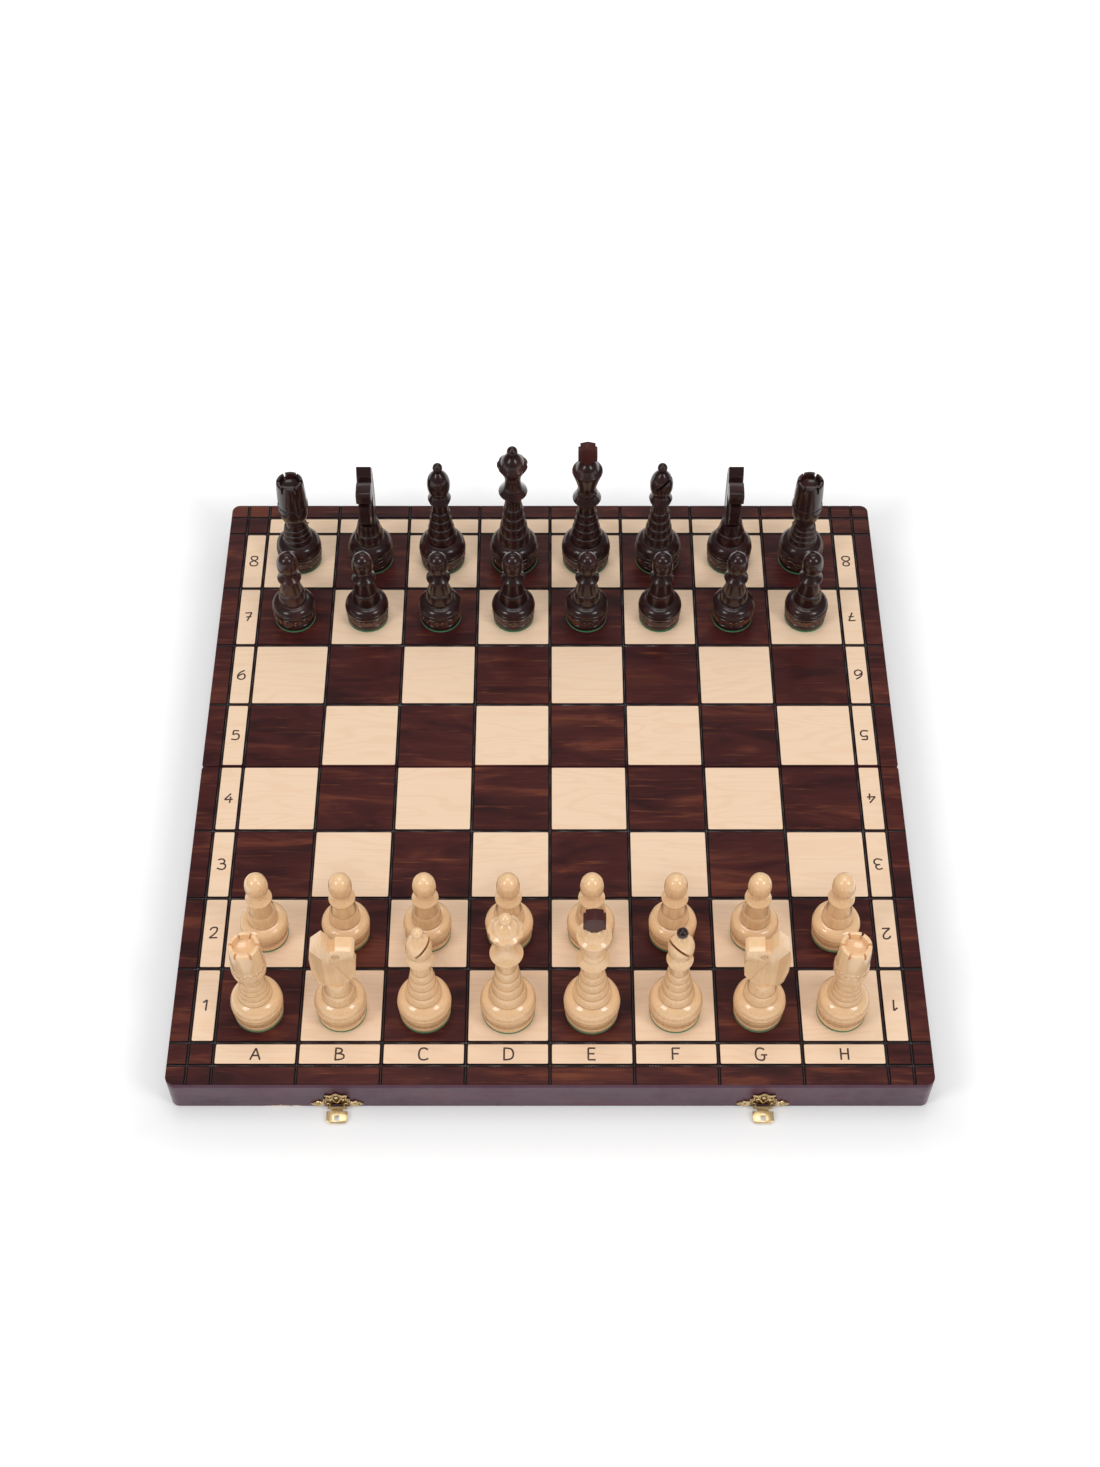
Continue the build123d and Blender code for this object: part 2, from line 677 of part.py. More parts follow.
write(hinge_pins(), "hinge_pins")
write(clasp_plates(), "clasp_plates")
write(clasp_flap(-clasp_offset), "clasp_flap_left")
write(clasp_flap(clasp_offset), "clasp_flap_right")
write(clasp_pins(), "clasp_pins")
write(round_head_screws(clasp_screw_places, -1), "clasp_screws")
write(catch_plates(), "catch_plates")
write(round_head_screws(catch_screw_places, 1), "catch_screws")

# The men, white towards the player. The knights and the cut mitres are turned as they stand.

facing = {"white_knight_g1": 180, "black_knight_b8": -90, "black_knight_g8": -90,
          "white_bishop_f1": 165, "black_bishop_c8": 150, "black_bishop_f8": -30}
kinds = {"a": "rook", "b": "knight", "c": "bishop", "d": "queen", "e": "king", "f": "bishop",
         "g": "knight", "h": "rook"}
men = {"rook": rook(), "knight": knight(), "bishop": bishop(True), "queen": queen(), "king": king(),
       "pawn": pawn()}


def set_up(solids, name, x, rank, shift=0.0):
    """Stands a man on its square and writes it under its name."""
    place = Location((x, (rank - 4.5) * square + shift, board_top), (0, 0, facing.get(name, 0)))
    write(Compound(children=[solid.moved(place) for solid in solids]), name)
    return place


for colour, back_rank, pawn_rank, shift in (("white", 1, 2, white_rank_shift),
                                            ("black", 8, 7, black_rank_shift)):
    for x, (file, kind) in zip(file_places, kinds.items()):
        name = f"{colour}_{kind}_{file}{back_rank}"
        solids = men[kind]
        if name == "white_bishop_f1":
            solids = bishop(False)
        if name == "black_king_e8":
            solids = men[kind] + [king_cross()]
        place = set_up(solids, name, x, back_rank, shift)
        if name == "white_bishop_f1":
            write(bishop_ball().moved(place), "white_bishop_ball")
        if name == "white_king_e1":
            write(king_cross().moved(place), "white_king_cross")
        set_up(men["pawn"], f"{colour}_pawn_{file}{pawn_rank}", x, pawn_rank)
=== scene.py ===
import cmath
import json
import math

import bmesh
import bpy
from mathutils import Matrix, Vector


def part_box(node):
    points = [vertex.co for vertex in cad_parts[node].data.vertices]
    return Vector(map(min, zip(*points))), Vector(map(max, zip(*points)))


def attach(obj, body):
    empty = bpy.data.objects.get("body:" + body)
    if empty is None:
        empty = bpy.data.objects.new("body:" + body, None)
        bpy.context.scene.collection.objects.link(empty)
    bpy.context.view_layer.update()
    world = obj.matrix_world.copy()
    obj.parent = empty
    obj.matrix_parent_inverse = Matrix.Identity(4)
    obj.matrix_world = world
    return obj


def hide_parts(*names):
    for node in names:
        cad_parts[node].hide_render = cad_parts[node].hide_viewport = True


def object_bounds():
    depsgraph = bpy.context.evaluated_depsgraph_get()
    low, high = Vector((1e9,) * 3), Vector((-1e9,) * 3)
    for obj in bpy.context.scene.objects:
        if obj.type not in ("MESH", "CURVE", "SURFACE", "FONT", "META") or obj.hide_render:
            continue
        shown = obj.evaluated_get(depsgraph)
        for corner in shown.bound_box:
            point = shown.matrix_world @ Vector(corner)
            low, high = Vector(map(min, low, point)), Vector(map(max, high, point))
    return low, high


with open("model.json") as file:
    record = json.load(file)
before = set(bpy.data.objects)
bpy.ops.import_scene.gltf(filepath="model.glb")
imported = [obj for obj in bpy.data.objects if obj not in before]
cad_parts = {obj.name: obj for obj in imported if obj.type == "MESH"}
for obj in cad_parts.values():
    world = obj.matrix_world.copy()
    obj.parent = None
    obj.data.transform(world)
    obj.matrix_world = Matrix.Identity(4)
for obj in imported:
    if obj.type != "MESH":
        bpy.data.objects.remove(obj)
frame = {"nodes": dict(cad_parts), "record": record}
cad_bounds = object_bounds()
nodes = frame["nodes"]
bodies_of_nodes = {node: body for body, members in frame["record"]["behaviour"]["bodies"].items()
                   for node in members}

# The studio: the set stands on a white sweep, seen from the light side and from well above. Soft boxes
# at the two front corners light the men; one overhead and a wide one behind throw the soft shadows.
camera_place = Vector((0.0, -0.837, 1.246))
camera_dip = math.radians(54.5)
lens = 50.4
floor_half = 6.0
soft_boxes = {"right": ((1.25, -0.95, 1.55), (0.55, 0.9), 10.5),
              "left": ((-1.25, -0.95, 1.55), (0.55, 0.9), 10.5),
              "top": ((0.0, 0.3, 2.6), (1.3, 1.0), 15.0),
              "back": ((0.0, 2.6, 2.4), (2.4, 0.6), 10.0)}
room_strength = 0.46
room_gloss = 0.14
floor_colour = (0.80, 0.80, 0.80, 1)
floor_lift, floor_lift_away = 0.16, 0.56
lift_from, lift_to = 0.256, 0.36

scene = bpy.context.scene
scene.view_settings.view_transform = "Standard"

camera = bpy.data.objects.new("camera", bpy.data.cameras.new("camera"))
camera.data.lens = lens
camera.location = camera_place
camera.rotation_euler = (math.pi / 2 - camera_dip, 0, 0)
scene.collection.objects.link(camera)
scene.camera = camera

for side, (place, size, power) in soft_boxes.items():
    lamp = bpy.data.lights.new(f"soft_box_{side}", "AREA")
    lamp.shape = "RECTANGLE"
    lamp.size, lamp.size_y = size
    lamp.energy = power
    box = bpy.data.objects.new(lamp.name, lamp)
    box.location = place
    box.rotation_euler = (-Vector(place)).to_track_quat("-Z", "Y").to_euler()
    scene.collection.objects.link(box)


def add(kind, inputs=None, tree=None, **settings):
    """Adds a node to a tree, or to that of its inputs, which take plain values or other nodes' sockets."""
    inputs = inputs or {}
    feeds = [value for value in inputs.values() if isinstance(value, bpy.types.NodeSocket)]
    tree = tree or feeds[0].id_data
    made = tree.nodes.new(kind)
    for key, value in settings.items():
        setattr(made, key, value)
    for key, value in inputs.items():
        if isinstance(value, bpy.types.NodeSocket):
            tree.links.new(value, made.inputs[key])
        else:
            made.inputs[key].default_value = value
    return made


def calc(operation, *values):
    """Adds a Math node and returns its result."""
    return add("ShaderNodeMath", dict(enumerate(values)), operation=operation).outputs[0]


def between(value, low, high, least=0.0, most=1.0):
    """Eases from least, where the value is low, to most, where it is high."""
    ends = {"Value": value, "From Min": low, "From Max": high, "To Min": least, "To Max": most}
    return add("ShaderNodeMapRange", ends, interpolation_type="SMOOTHSTEP").outputs[0]


def apart(position):
    """A position's X, Y and Z."""
    return add("ShaderNodeSeparateXYZ", {0: position}).outputs


def blank_tree(owner):
    owner.use_nodes = True
    owner.node_tree.nodes.clear()
    return owner.node_tree


room = blank_tree(bpy.data.worlds.new("studio"))
scene.world = bpy.data.worlds["studio"]
light_path = add("ShaderNodeLightPath", tree=room).outputs
seen = calc("MAXIMUM", light_path["Is Camera Ray"], light_path["Is Transmission Ray"])
glossy_strength = calc("MULTIPLY", light_path["Is Glossy Ray"], room_gloss)
plain = calc("SUBTRACT", 1.0, light_path["Is Glossy Ray"])
lit = calc("MULTIPLY_ADD", plain, room_strength, glossy_strength)
strength = calc("MAXIMUM", seen, lit)
background = add("ShaderNodeBackground", {"Color": (1, 1, 1, 1), "Strength": strength})
add("ShaderNodeOutputWorld", {"Surface": background.outputs[0]})

bm = bmesh.new()
bmesh.ops.create_grid(bm, x_segments=1, y_segments=1, size=floor_half)
floor = bpy.data.objects.new("floor", bpy.data.meshes.new("floor"))
bm.to_mesh(floor.data)
bm.free()
floor.location.z = cad_bounds[0].z
scene.collection.objects.link(floor)

sweep = bpy.data.materials.new("white_sweep")
tree = blank_tree(sweep)
light_path = add("ShaderNodeLightPath", tree=tree).outputs
seen = calc("MAXIMUM", light_path["Is Camera Ray"], light_path["Is Glossy Ray"])
seen = calc("MAXIMUM", seen, light_path["Is Transmission Ray"])
place = apart(add("ShaderNodeTexCoord", tree=tree).outputs["Object"])
reach = calc("MAXIMUM", calc("ABSOLUTE", place["X"]), calc("ABSOLUTE", place["Y"]))
whiter = between(reach, lift_from, lift_to, floor_lift, floor_lift_away)
lift = add("ShaderNodeEmission", {"Strength": calc("MULTIPLY", seen, whiter)})
paint = add("ShaderNodeBsdfDiffuse", {"Color": floor_colour}, tree)
both = add("ShaderNodeAddShader", {0: lift.outputs[0], 1: paint.outputs[0]})
add("ShaderNodeOutputMaterial", {"Surface": both.outputs[0]})
floor.data.materials.append(sweep)

# The playing surface: two sheets of birch plywood. The squares and the strip round them are masked and
# stained, the lines between them are burnt in with a hot roller, and the whole is lacquered.
square = 55.0
strip = 16.5
field = 4 * square
light_margin = 1.35
light_corner, corner_blur = 0.9, 0.12
burnt_half_width = 1.15
unburnt_fold = 3.0
sides_end, top_begins = 30.9, 31.3
light_birch = (0.885, 0.655, 0.465, 1)
light_birch_figure = (0.80, 0.54, 0.34, 1)
stain_deep = (0.032, 0.0075, 0.0080, 1)
stain_middle = (0.066, 0.0140, 0.0125, 1)
stain_warm = (0.150, 0.038, 0.021, 1)
stain_streak = (0.34, 0.105, 0.035, 1)
burnt_line = (0.012, 0.007, 0.007, 1)
case_shade = (0.078, 0.016, 0.044, 1)


def new_group(name, takes, gives):
    """A shader node group with these named inputs and outputs; floats unless they say otherwise."""
    group = bpy.data.node_groups.new(name, "ShaderNodeTree")
    for names, way in ((takes, "INPUT"), (gives, "OUTPUT")):
        for socket in names:
            kind = "Vector" if socket == "Position" else "Float"
            group.interface.new_socket(socket, in_out=way, socket_type=f"NodeSocket{kind}")
    return group, group.nodes.new("NodeGroupInput").outputs, group.nodes.new("NodeGroupOutput")


def feed(node, **values):
    """Links sockets to a node's inputs."""
    for name, value in values.items():
        node.id_data.links.new(value, node.inputs[name.replace("_", " ")])


def stretched_noise(position, stretch, detail, distortion=0.0):
    scaled = add("ShaderNodeVectorMath", {0: position, 1: stretch}, operation="MULTIPLY")
    noise = add("ShaderNodeTexNoise", {"Vector": scaled.outputs[0], "Scale": 1.0, "Detail": detail,
                                       "Roughness": 0.6, "Distortion": distortion})
    return noise.outputs["Fac"]


# Wood, with its grain along X in millimetres: fine fibres, broad clouds of stain, short bright streaks
# and the slow waves of a birch figure.
grain, taken, given = new_group("wood_grain", ["Position"], ["Fibre", "Cloud", "Streak", "Figure"])
spot = taken["Position"]
fibre = stretched_noise(spot, (0.02, 0.85, 0.85), 4.0)
cloud = stretched_noise(spot, (0.013, 0.055, 0.055), 3.0, 0.7)
streak = stretched_noise(spot, (0.024, 0.36, 0.36), 5.0, 0.3)
wave = stretched_noise(spot, (0.006, 0.035, 0.035), 2.0, 0.4)
ripples = calc("SINE", calc("MULTIPLY", wave, 70.0))
feed(given, Fibre=fibre, Cloud=cloud, Streak=between(streak, 0.56, 0.80), Figure=between(ripples, 0.1, 1.0))

# What handling does to lacquer: patches rubbed duller, and a faint orange peel.
handling, taken, given = new_group("lacquer_wear", ["Position"], ["Rub", "Peel"])
rub = stretched_noise(taken["Position"], (0.05, 0.05, 0.05), 4.0)
peel = stretched_noise(taken["Position"], (0.7, 0.7, 0.7), 2.0)
feed(given, Rub=between(rub, 0.35, 0.75), Peel=peel)

# The ruled pattern: 8 by 8 squares, a strip of cells round them and a plain border.
ruling, taken, given = new_group("ruled_squares", ["Position"], ["Light", "Line"])
place = apart(taken["Position"])
zones = []
for along in (place["X"], place["Y"]):
    reach = calc("ABSOLUTE", along)
    in_field = calc("LESS_THAN", reach, field)
    in_strip = calc("SUBTRACT", calc("LESS_THAN", reach, field + strip), in_field)
    share = calc("FRACT", calc("DIVIDE", along, square))
    from_square = calc("ABSOLUTE", calc("MULTIPLY_ADD", share, square, -square / 2))
    from_strip = calc("ABSOLUTE", calc("SUBTRACT", reach, field + strip / 2))
    offset = add("ShaderNodeMix", {"Factor": in_field, "A": from_strip, "B": from_square}).outputs[0]
    half = calc("MULTIPLY_ADD", in_field, (square - strip) / 2, strip / 2)
    past = calc("SUBTRACT", offset, calc("SUBTRACT", half, light_margin + light_corner))
    to_line = calc("ABSOLUTE", calc("SUBTRACT", half, offset))
    column = calc("FLOOR", calc("DIVIDE", along, square))
    zones.append((in_field, in_strip, past, to_line, column))
(x_field, x_strip, x_past, x_line, file), (y_field, y_strip, y_past, y_line, rank) = zones
odd = calc("ABSOLUTE", calc("MODULO", calc("ADD", file, rank), 2.0))
light_square = calc("MULTIPLY", odd, calc("MULTIPLY", x_field, y_field))
letter_cell = calc("MULTIPLY", x_field, y_strip)
number_cell = calc("MULTIPLY", x_strip, y_field)
is_light = calc("ADD", calc("ADD", letter_cell, number_cell), light_square)
corner = add("ShaderNodeCombineXYZ", {"X": calc("MAXIMUM", x_past, 0.0),
                                      "Y": calc("MAXIMUM", y_past, 0.0)})
round_off = add("ShaderNodeVectorMath", {0: corner.outputs[0]}, operation="LENGTH").outputs["Value"]
inside = between(round_off, light_corner - corner_blur, light_corner + corner_blur, 1.0, 0.0)
at_fold = calc("LESS_THAN", calc("ABSOLUTE", place["Y"]), unburnt_fold)
y_line = calc("MULTIPLY_ADD", at_fold, square, y_line)
nearest = calc("MINIMUM", x_line, y_line)
line = between(nearest, burnt_half_width - 0.25, burnt_half_width + 0.2, 1.0, 0.0)
feed(given, Light=calc("MULTIPLY", is_light, inside), Line=line)


def placed_group(group, position):
    """Places a node group beside the position that it is fed with."""
    return add("ShaderNodeGroup", {"Position": position}, node_tree=group).outputs


def mixed(share, first, second):
    """One colour laid over another; a Mix node keeps its colours in these sockets."""
    return add("ShaderNodeMix", {0: share, 6: first, 7: second}, data_type="RGBA").outputs[2]


def new_finish(name, turn=(0, 0, 0), **shine):
    """A material with one Principled shader; returns it, its shader and its place in mm."""
    made = bpy.data.materials.new(name)
    tree = blank_tree(made)
    shine = {key.replace("_", " "): value for key, value in shine.items()}
    shader = add("ShaderNodeBsdfPrincipled", shine, tree)
    add("ShaderNodeOutputMaterial", {"Surface": shader.outputs[0]})
    place = add("ShaderNodeTexCoord", tree=tree).outputs["Object"]
    spot = add("ShaderNodeMapping", {"Vector": place, "Rotation": turn, "Scale": (1000, 1000, 1000)})
    return made, shader, spot.outputs[0]


def bumped(height, distance_mm, strength):
    return add("ShaderNodeBump", {"Height": height, "Distance": distance_mm / 1000,
                                  "Strength": strength}).outputs[0]


def spread(mask, least, most):
    """Lays a mask out evenly between two values."""
    return add("ShaderNodeMapRange", {"Value": mask, "To Min": least, "To Max": most}).outputs[0]


def lacquer(shader, wood, worn, colour, raised, satin, depth=0.05, strength=0.5):
    """Lacquered wood: duller where it is rubbed, over raised grain and a faint orange peel."""
    relief = calc("MULTIPLY_ADD", wood["Fibre"], raised, worn["Peel"])
    feed(shader, Base_Color=colour, Roughness=spread(worn["Rub"], *satin),
         Normal=bumped(relief, depth, strength))


def dress(finish, *names):
    """Gives solids of the set their finish."""
    for name in names:
        nodes[name].data.materials.clear()
        nodes[name].data.materials.append(finish)


def stained(wood, deep, middle, warm, streak, streak_share):
    """Stained wood: three tones through the clouds, with fibres and streaks over them."""
    lower = mixed(between(wood["Cloud"], 0.30, 0.52), deep, middle)
    tone = mixed(between(wood["Cloud"], 0.50, 0.72), lower, warm)
    fibred = mixed(between(wood["Fibre"], 0.62, 0.40, most=0.3), tone, deep)
    return mixed(calc("MULTIPLY", wood["Streak"], streak_share), fibred, streak)


board_finish, shader, spot = new_finish("stained_birch", Specular_IOR_Level=0.12, Coat_Weight=0.08,
                                        Coat_Roughness=0.2)
wood = placed_group(grain, spot)
ruled = placed_group(ruling, spot)
worn = placed_group(handling, spot)
dark = stained(wood, stain_deep, stain_middle, stain_warm, stain_streak, 0.42)
pale = mixed(calc("MULTIPLY", wood["Figure"], 0.28), light_birch, light_birch_figure)
pale = mixed(between(wood["Fibre"], 0.45, 0.7, most=0.25), pale, light_birch_figure)
top = mixed(ruled["Line"], mixed(ruled["Light"], dark, pale), burnt_line)
skin = mixed(between(apart(spot)["Z"], sides_end, top_begins), case_shade, top)
lacquer(shader, wood, worn, skin, 0.6, (0.34, 0.5))
dress(board_finish, "front_top_panel", "back_top_panel")

# The burnt lines: a hot knurled roller is run along a rule, and leaves what looks like a twisted cord
# of char at the bottom of each groove. They stop a little short of the board's edges and of the fold.
board_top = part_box("front_top_panel")[1].z * 1000
board_half = 250.0
cord_radius = 0.62
cord_middle = board_top - 0.85
cord_turn = 7.0
cord_step = 0.6
cord_end = 0.9
fold_gap = 0.5
to_metres = Matrix.Scale(0.001, 4)
sharp_from = math.radians(24)
char_black = (0.016, 0.013, 0.016, 1)


def rubbed_finish(name, colour, rubbed, **shine):
    """Two colours through the patches that handling rubs."""
    made, shader, spot = new_finish(name, **shine)
    worn = placed_group(handling, spot)
    feed(shader, Base_Color=mixed(worn["Rub"], colour, rubbed))
    return made


char_finish = rubbed_finish("char", char_black, stain_deep, Roughness=0.32, Coat_Weight=0.5,
                            Coat_Roughness=0.15)


def mesh_of(bm):
    mesh = bpy.data.meshes.new("part")
    bm.to_mesh(mesh)
    bm.free()
    return mesh


def char_cord(length):
    """A square strand along X, twisted as it is drawn along the groove."""
    steps = int(length / cord_step)
    along = Vector((1, 0, 0))
    bm = bmesh.new()
    lay = Matrix.Rotation(math.pi / 2, 4, "Y")
    bmesh.ops.create_circle(bm, radius=cord_radius, segments=4, matrix=lay)
    bmesh.ops.spin(bm, geom=bm.verts[:] + bm.edges[:], cent=(0, 0, 0), axis=along,
                   dvec=along * length / steps, angle=2 * math.pi * length / cord_turn, steps=steps)
    bmesh.ops.holes_fill(bm, edges=bm.edges, sides=4)
    bmesh.ops.recalc_face_normals(bm, faces=bm.faces)
    return mesh_of(bm)


def stood(mesh, place):
    made = mesh.copy()
    made.transform(place)
    return made


def piece_of(mesh, name, finishes, body, slot, *stands_for):
    """Makes a mesh, already in its place, a piece of the set: smooth, but sharp at its corners."""
    mesh.name = name
    mesh.shade_smooth()
    mesh.set_sharp_from_angle(angle=sharp_from)
    marks = [face.material_index for face in mesh.polygons]
    mesh.materials.clear()
    for finish in finishes:
        mesh.materials.append(finish)
    mesh.polygons.foreach_set("material_index", marks)
    made = bpy.data.objects.new(name, mesh)
    scene.collection.objects.link(made)
    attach(made, body)
    if stands_for:
        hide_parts(*stands_for)


fold_face = fold_gap / 2 + cord_end
ruled_ways = [k * square for k in range(1, 5)] + [field + strip]
long_cord = char_cord(2 * (board_half - cord_end))
short_cord = char_cord(board_half - cord_end - fold_face)
for half, side in (("front", -1), ("back", 1)):
    bm = bmesh.new()
    for reach in ruled_ways:
        start = Matrix.Translation((cord_end - board_half, side * reach, cord_middle))
        bm.from_mesh(stood(long_cord, start))
    for across in [-reach for reach in ruled_ways] + [0] + ruled_ways:
        start = Matrix.Translation((across, side * fold_face, cord_middle))
        bm.from_mesh(stood(short_cord, start @ Matrix.Rotation(side * math.pi / 2, 4, "Z")))
    bmesh.ops.transform(bm, matrix=to_metres, verts=bm.verts)
    piece_of(mesh_of(bm), f"{half}_burnt_lines", [char_finish], f"{half}_half", "board_surface")

# Letters and numbers: single strokes burnt into the light cells with a fine tip. Those at the dark
# side and on the right are turned to face that player or the edge. Each stroke is a row of places, X and
# Y by turns, in hundredths of the letter's height.
letter_height = 8.4
number_height = 8.0
glyph_centre, glyph_width = 0.42, 0.92
stroke_half_width = 0.6
stroke_flatness = 0.12
burnt_brown = (0.035, 0.012, 0.007, 1)
glyphs = {"A": "0 0 44 100, 44 100 84 0, 8 37 70 37",
          "B": "8 0 10 100, 4 100 62 102 62 56 12 54, 12 54 82 55 80 0 2 0",
          "C": "76 86 52 106 2 92 0 10 50 -6 82 12",
          "D": "10 0 10 100, 4 100 60 102 88 74 88 26 60 0 4 0",
          "E": "10 100 70 100, 10 100 10 0, 10 0 72 0, 10 52 62 52",
          "F": "10 100 74 100, 10 100 10 0, 10 52 62 52",
          "G": "76 86 52 106 2 92 0 10 50 -8 78 6 74 42, 46 42 98 42",
          "H": "10 0 10 100, 72 0 72 100, 10 54 72 54",
          "1": "14 74 48 100, 48 100 44 0",
          "2": "6 76 12 104 74 108 66 50 4 4, 4 3 78 6",
          "3": "8 92 46 112 78 76 52 54 28 54, 28 54 78 60 86 10 44 -10 4 10",
          "4": "62 100 4 34, 4 34 84 38, 62 66 56 0",
          "5": "74 98 20 100, 20 100 16 56, 16 56 60 74 86 36 62 -8 4 6",
          "6": "66 100 16 82 -8 20 30 -10 78 10 68 62 24 56 6 30",
          "7": "6 94 74 100, 74 100 34 0, 20 46 74 52",
          "8": "38 54 2 72 10 110 70 110 74 72 38 54 -6 34 6 -10 72 -10 84 34 38 54"}


def finished(made):
    """An object's mesh as its modifiers or its curve's bevel leave it."""
    return bpy.data.meshes.new_from_object(made.evaluated_get(bpy.context.evaluated_depsgraph_get()))


def wire(strokes, radius, closed=False, sides=2, along=3):
    """Round wires through the strokes' points; two points make a straight one."""
    curve = bpy.data.curves.new("wire", "CURVE")
    curve.dimensions = "3D"
    curve.bevel_depth = radius
    curve.bevel_resolution = sides
    curve.use_fill_caps = True
    for points in strokes:
        kind = "NURBS" if len(points) > 2 and not closed else "POLY"
        spline = curve.splines.new(kind)
        spline.points.add(len(points) - 1)
        for point, place in zip(spline.points, points):
            point.co = (*place, 1)
        spline.use_cyclic_u = closed
        if kind == "NURBS":
            spline.use_endpoint_u = True
            spline.order_u = 3
            spline.resolution_u = along
    holder = bpy.data.objects.new("wire", curve)
    scene.collection.objects.link(holder)
    bpy.context.view_layer.update()
    mesh = finished(holder)
    bpy.data.objects.remove(holder)
    bpy.data.curves.remove(curve)
    return mesh


def glyph_strokes(glyph, tall, middle, upside_down):
    """The strokes of one letter or number, set about its middle on the board."""
    turned = -1 if upside_down else 1
    strokes = []
    for stroke in glyphs[glyph].split(","):
        marks = [int(mark) / 100 for mark in stroke.split()]
        strokes.append([(middle[0] + turned * (x - glyph_centre) * glyph_width * tall,
                         middle[1] + turned * (y - 0.5) * tall, 0)
                        for x, y in zip(marks[::2], marks[1::2])])
    return strokes


stroke_finish, shader, spot = new_finish("burnt_strokes", Roughness=0.5, Coat_Weight=0.3,
                                         Coat_Roughness=0.3)
wood = placed_group(grain, spot)
scorched = between(wood["Fibre"], 0.5, 0.75, most=0.4)
feed(shader, Base_Color=mixed(scorched, burnt_brown, stain_streak))
strip_middle = field + strip / 2
for half, side in (("front", -1), ("back", 1)):
    strokes = []
    for i, letter in enumerate("ABCDEFGH"):
        middle = ((i - 3.5) * square, side * strip_middle)
        strokes += glyph_strokes(letter, letter_height, middle, side > 0)
    for rank in range(1, 9):
        across = (rank - 4.5) * square
        if across * side > 0:
            strokes += glyph_strokes(str(rank), number_height, (-strip_middle, across), False)
            strokes += glyph_strokes(str(rank), number_height, (strip_middle, across), True)
    mesh = wire(strokes, stroke_half_width, along=6)
    mesh.transform(Matrix.Translation((0, 0, board_top)) @ Matrix.Scale(stroke_flatness, 4, (0, 0, 1)))
    mesh.transform(to_metres)
    piece_of(mesh, f"{half}_letters_and_numbers", [stroke_finish], f"{half}_half", "board_surface")

# The case below: two frames of beech, finger jointed at the corners, stained and lacquered glossy.
# The front wall has lost a few chips of its stain along the bottom edge.
case_deep = (0.055, 0.011, 0.031, 1)
case_warm = (0.105, 0.024, 0.046, 1)
bare_wood = (0.78, 0.58, 0.40, 1)
chips_from, chips_to, chips_high = -189.0, -163.0, 3.4


def case_finish_along(name, turn, chipped=False):
    made, shader, spot = new_finish(name, turn, Specular_IOR_Level=0.3, Coat_Weight=0.3,
                                    Coat_Roughness=0.16)
    wood = placed_group(grain, spot)
    worn = placed_group(handling, spot)
    colour = stained(wood, case_deep, case_shade, case_warm, stain_streak, 0.16)
    if chipped:
        place = apart(spot)
        ragged = stretched_noise(spot, (0.16, 0.16, 0.5), 3.0)
        ragged = calc("MULTIPLY_ADD", ragged, -2 * chips_high, place["Z"])
        low = between(ragged, 0.9 - chips_high, 0.5 - chips_high)
        along = calc("MULTIPLY", between(place["X"], chips_from, chips_from + 2),
                     between(place["X"], chips_to, chips_to - 2))
        colour = mixed(calc("MULTIPLY", low, along), colour, bare_wood)
    lacquer(shader, wood, worn, colour, 0.5, (0.3, 0.48))
    return made


quarter = math.pi / 2
long_walls = case_finish_along("case_long_walls", (0, 0, 0))
front_wall = case_finish_along("case_front_wall", (0, 0, 0), chipped=True)
side_walls = case_finish_along("case_side_walls", (0, 0, quarter))
for half in ("front", "back"):
    dress(long_walls, f"{half}_outer_wall", f"{half}_fold_wall", f"{half}_divider")
    dress(side_walls, f"{half}_left_wall", f"{half}_right_wall")
dress(front_wall, "front_outer_wall")

# Felt: green wool felt, cut to size and glued under the panels inside the case, so that the stored men
# don't rattle. A disc of the same felt goes under every man.
felt_green = (0.024, 0.175, 0.060, 1)
felt_pale = (0.055, 0.31, 0.115, 1)

felt_finish, shader, spot = new_finish("green_felt", Roughness=0.95, Sheen_Weight=0.5,
                                       Sheen_Roughness=0.5)
fuzz = stretched_noise(spot, (3.0, 3.0, 3.0), 3.0)
patch = stretched_noise(spot, (0.12, 0.12, 0.12), 3.0)
raised = calc("MULTIPLY", between(fuzz, 0.35, 0.7), between(patch, 0.2, 0.6))
feed(shader, Base_Color=mixed(raised, felt_green, felt_pale),
     Normal=bumped(fuzz, 0.3, 0.7))
dress(felt_finish, "front_felt_lining", "back_felt_lining")

# Brass: the hinges under the fold, the clasps at the front and the catches at the back are stamped
# from thin plated sheet, a little tarnished in the hollows.
brass_bright = (0.90, 0.68, 0.37, 1)
brass_dull = (0.22, 0.13, 0.045, 1)
brass_patina_and_shade = (0.17, 0.085, 0.026, 1)


def brass(name, tarnish_share, patina_and_shade=None):
    """Plated brass under clouds of tarnish; an optional mask darkens it further, for patina in recesses and
    for painted shade.
    """
    made, shader, spot = new_finish(name, Metallic=1.0)
    cast = stretched_noise(spot, (0.55, 0.55, 0.55), 4.0)
    fine = stretched_noise(spot, (2.2, 2.2, 2.2), 3.0)
    tarnish = between(cast, 0.42, 0.68, most=tarnish_share)
    colour = mixed(tarnish, brass_bright, brass_dull)
    if patina_and_shade:
        colour = mixed(patina_and_shade(spot), colour, brass_patina_and_shade)
    feed(shader, Base_Color=colour, Roughness=spread(cast, 0.22, 0.44),
         Normal=bumped(fine, 0.04, 0.6))
    return made


brass_finish = brass("brass", 0.6)
dress(brass_finish, "front_hinge_leaves", "back_hinge_leaves", "front_hinge_screws", "back_hinge_screws",
      "hinge_pins", "clasp_plates", "clasp_flap_left", "clasp_flap_right", "clasp_pins", "clasp_screws",
      "catch_plates", "catch_screws")

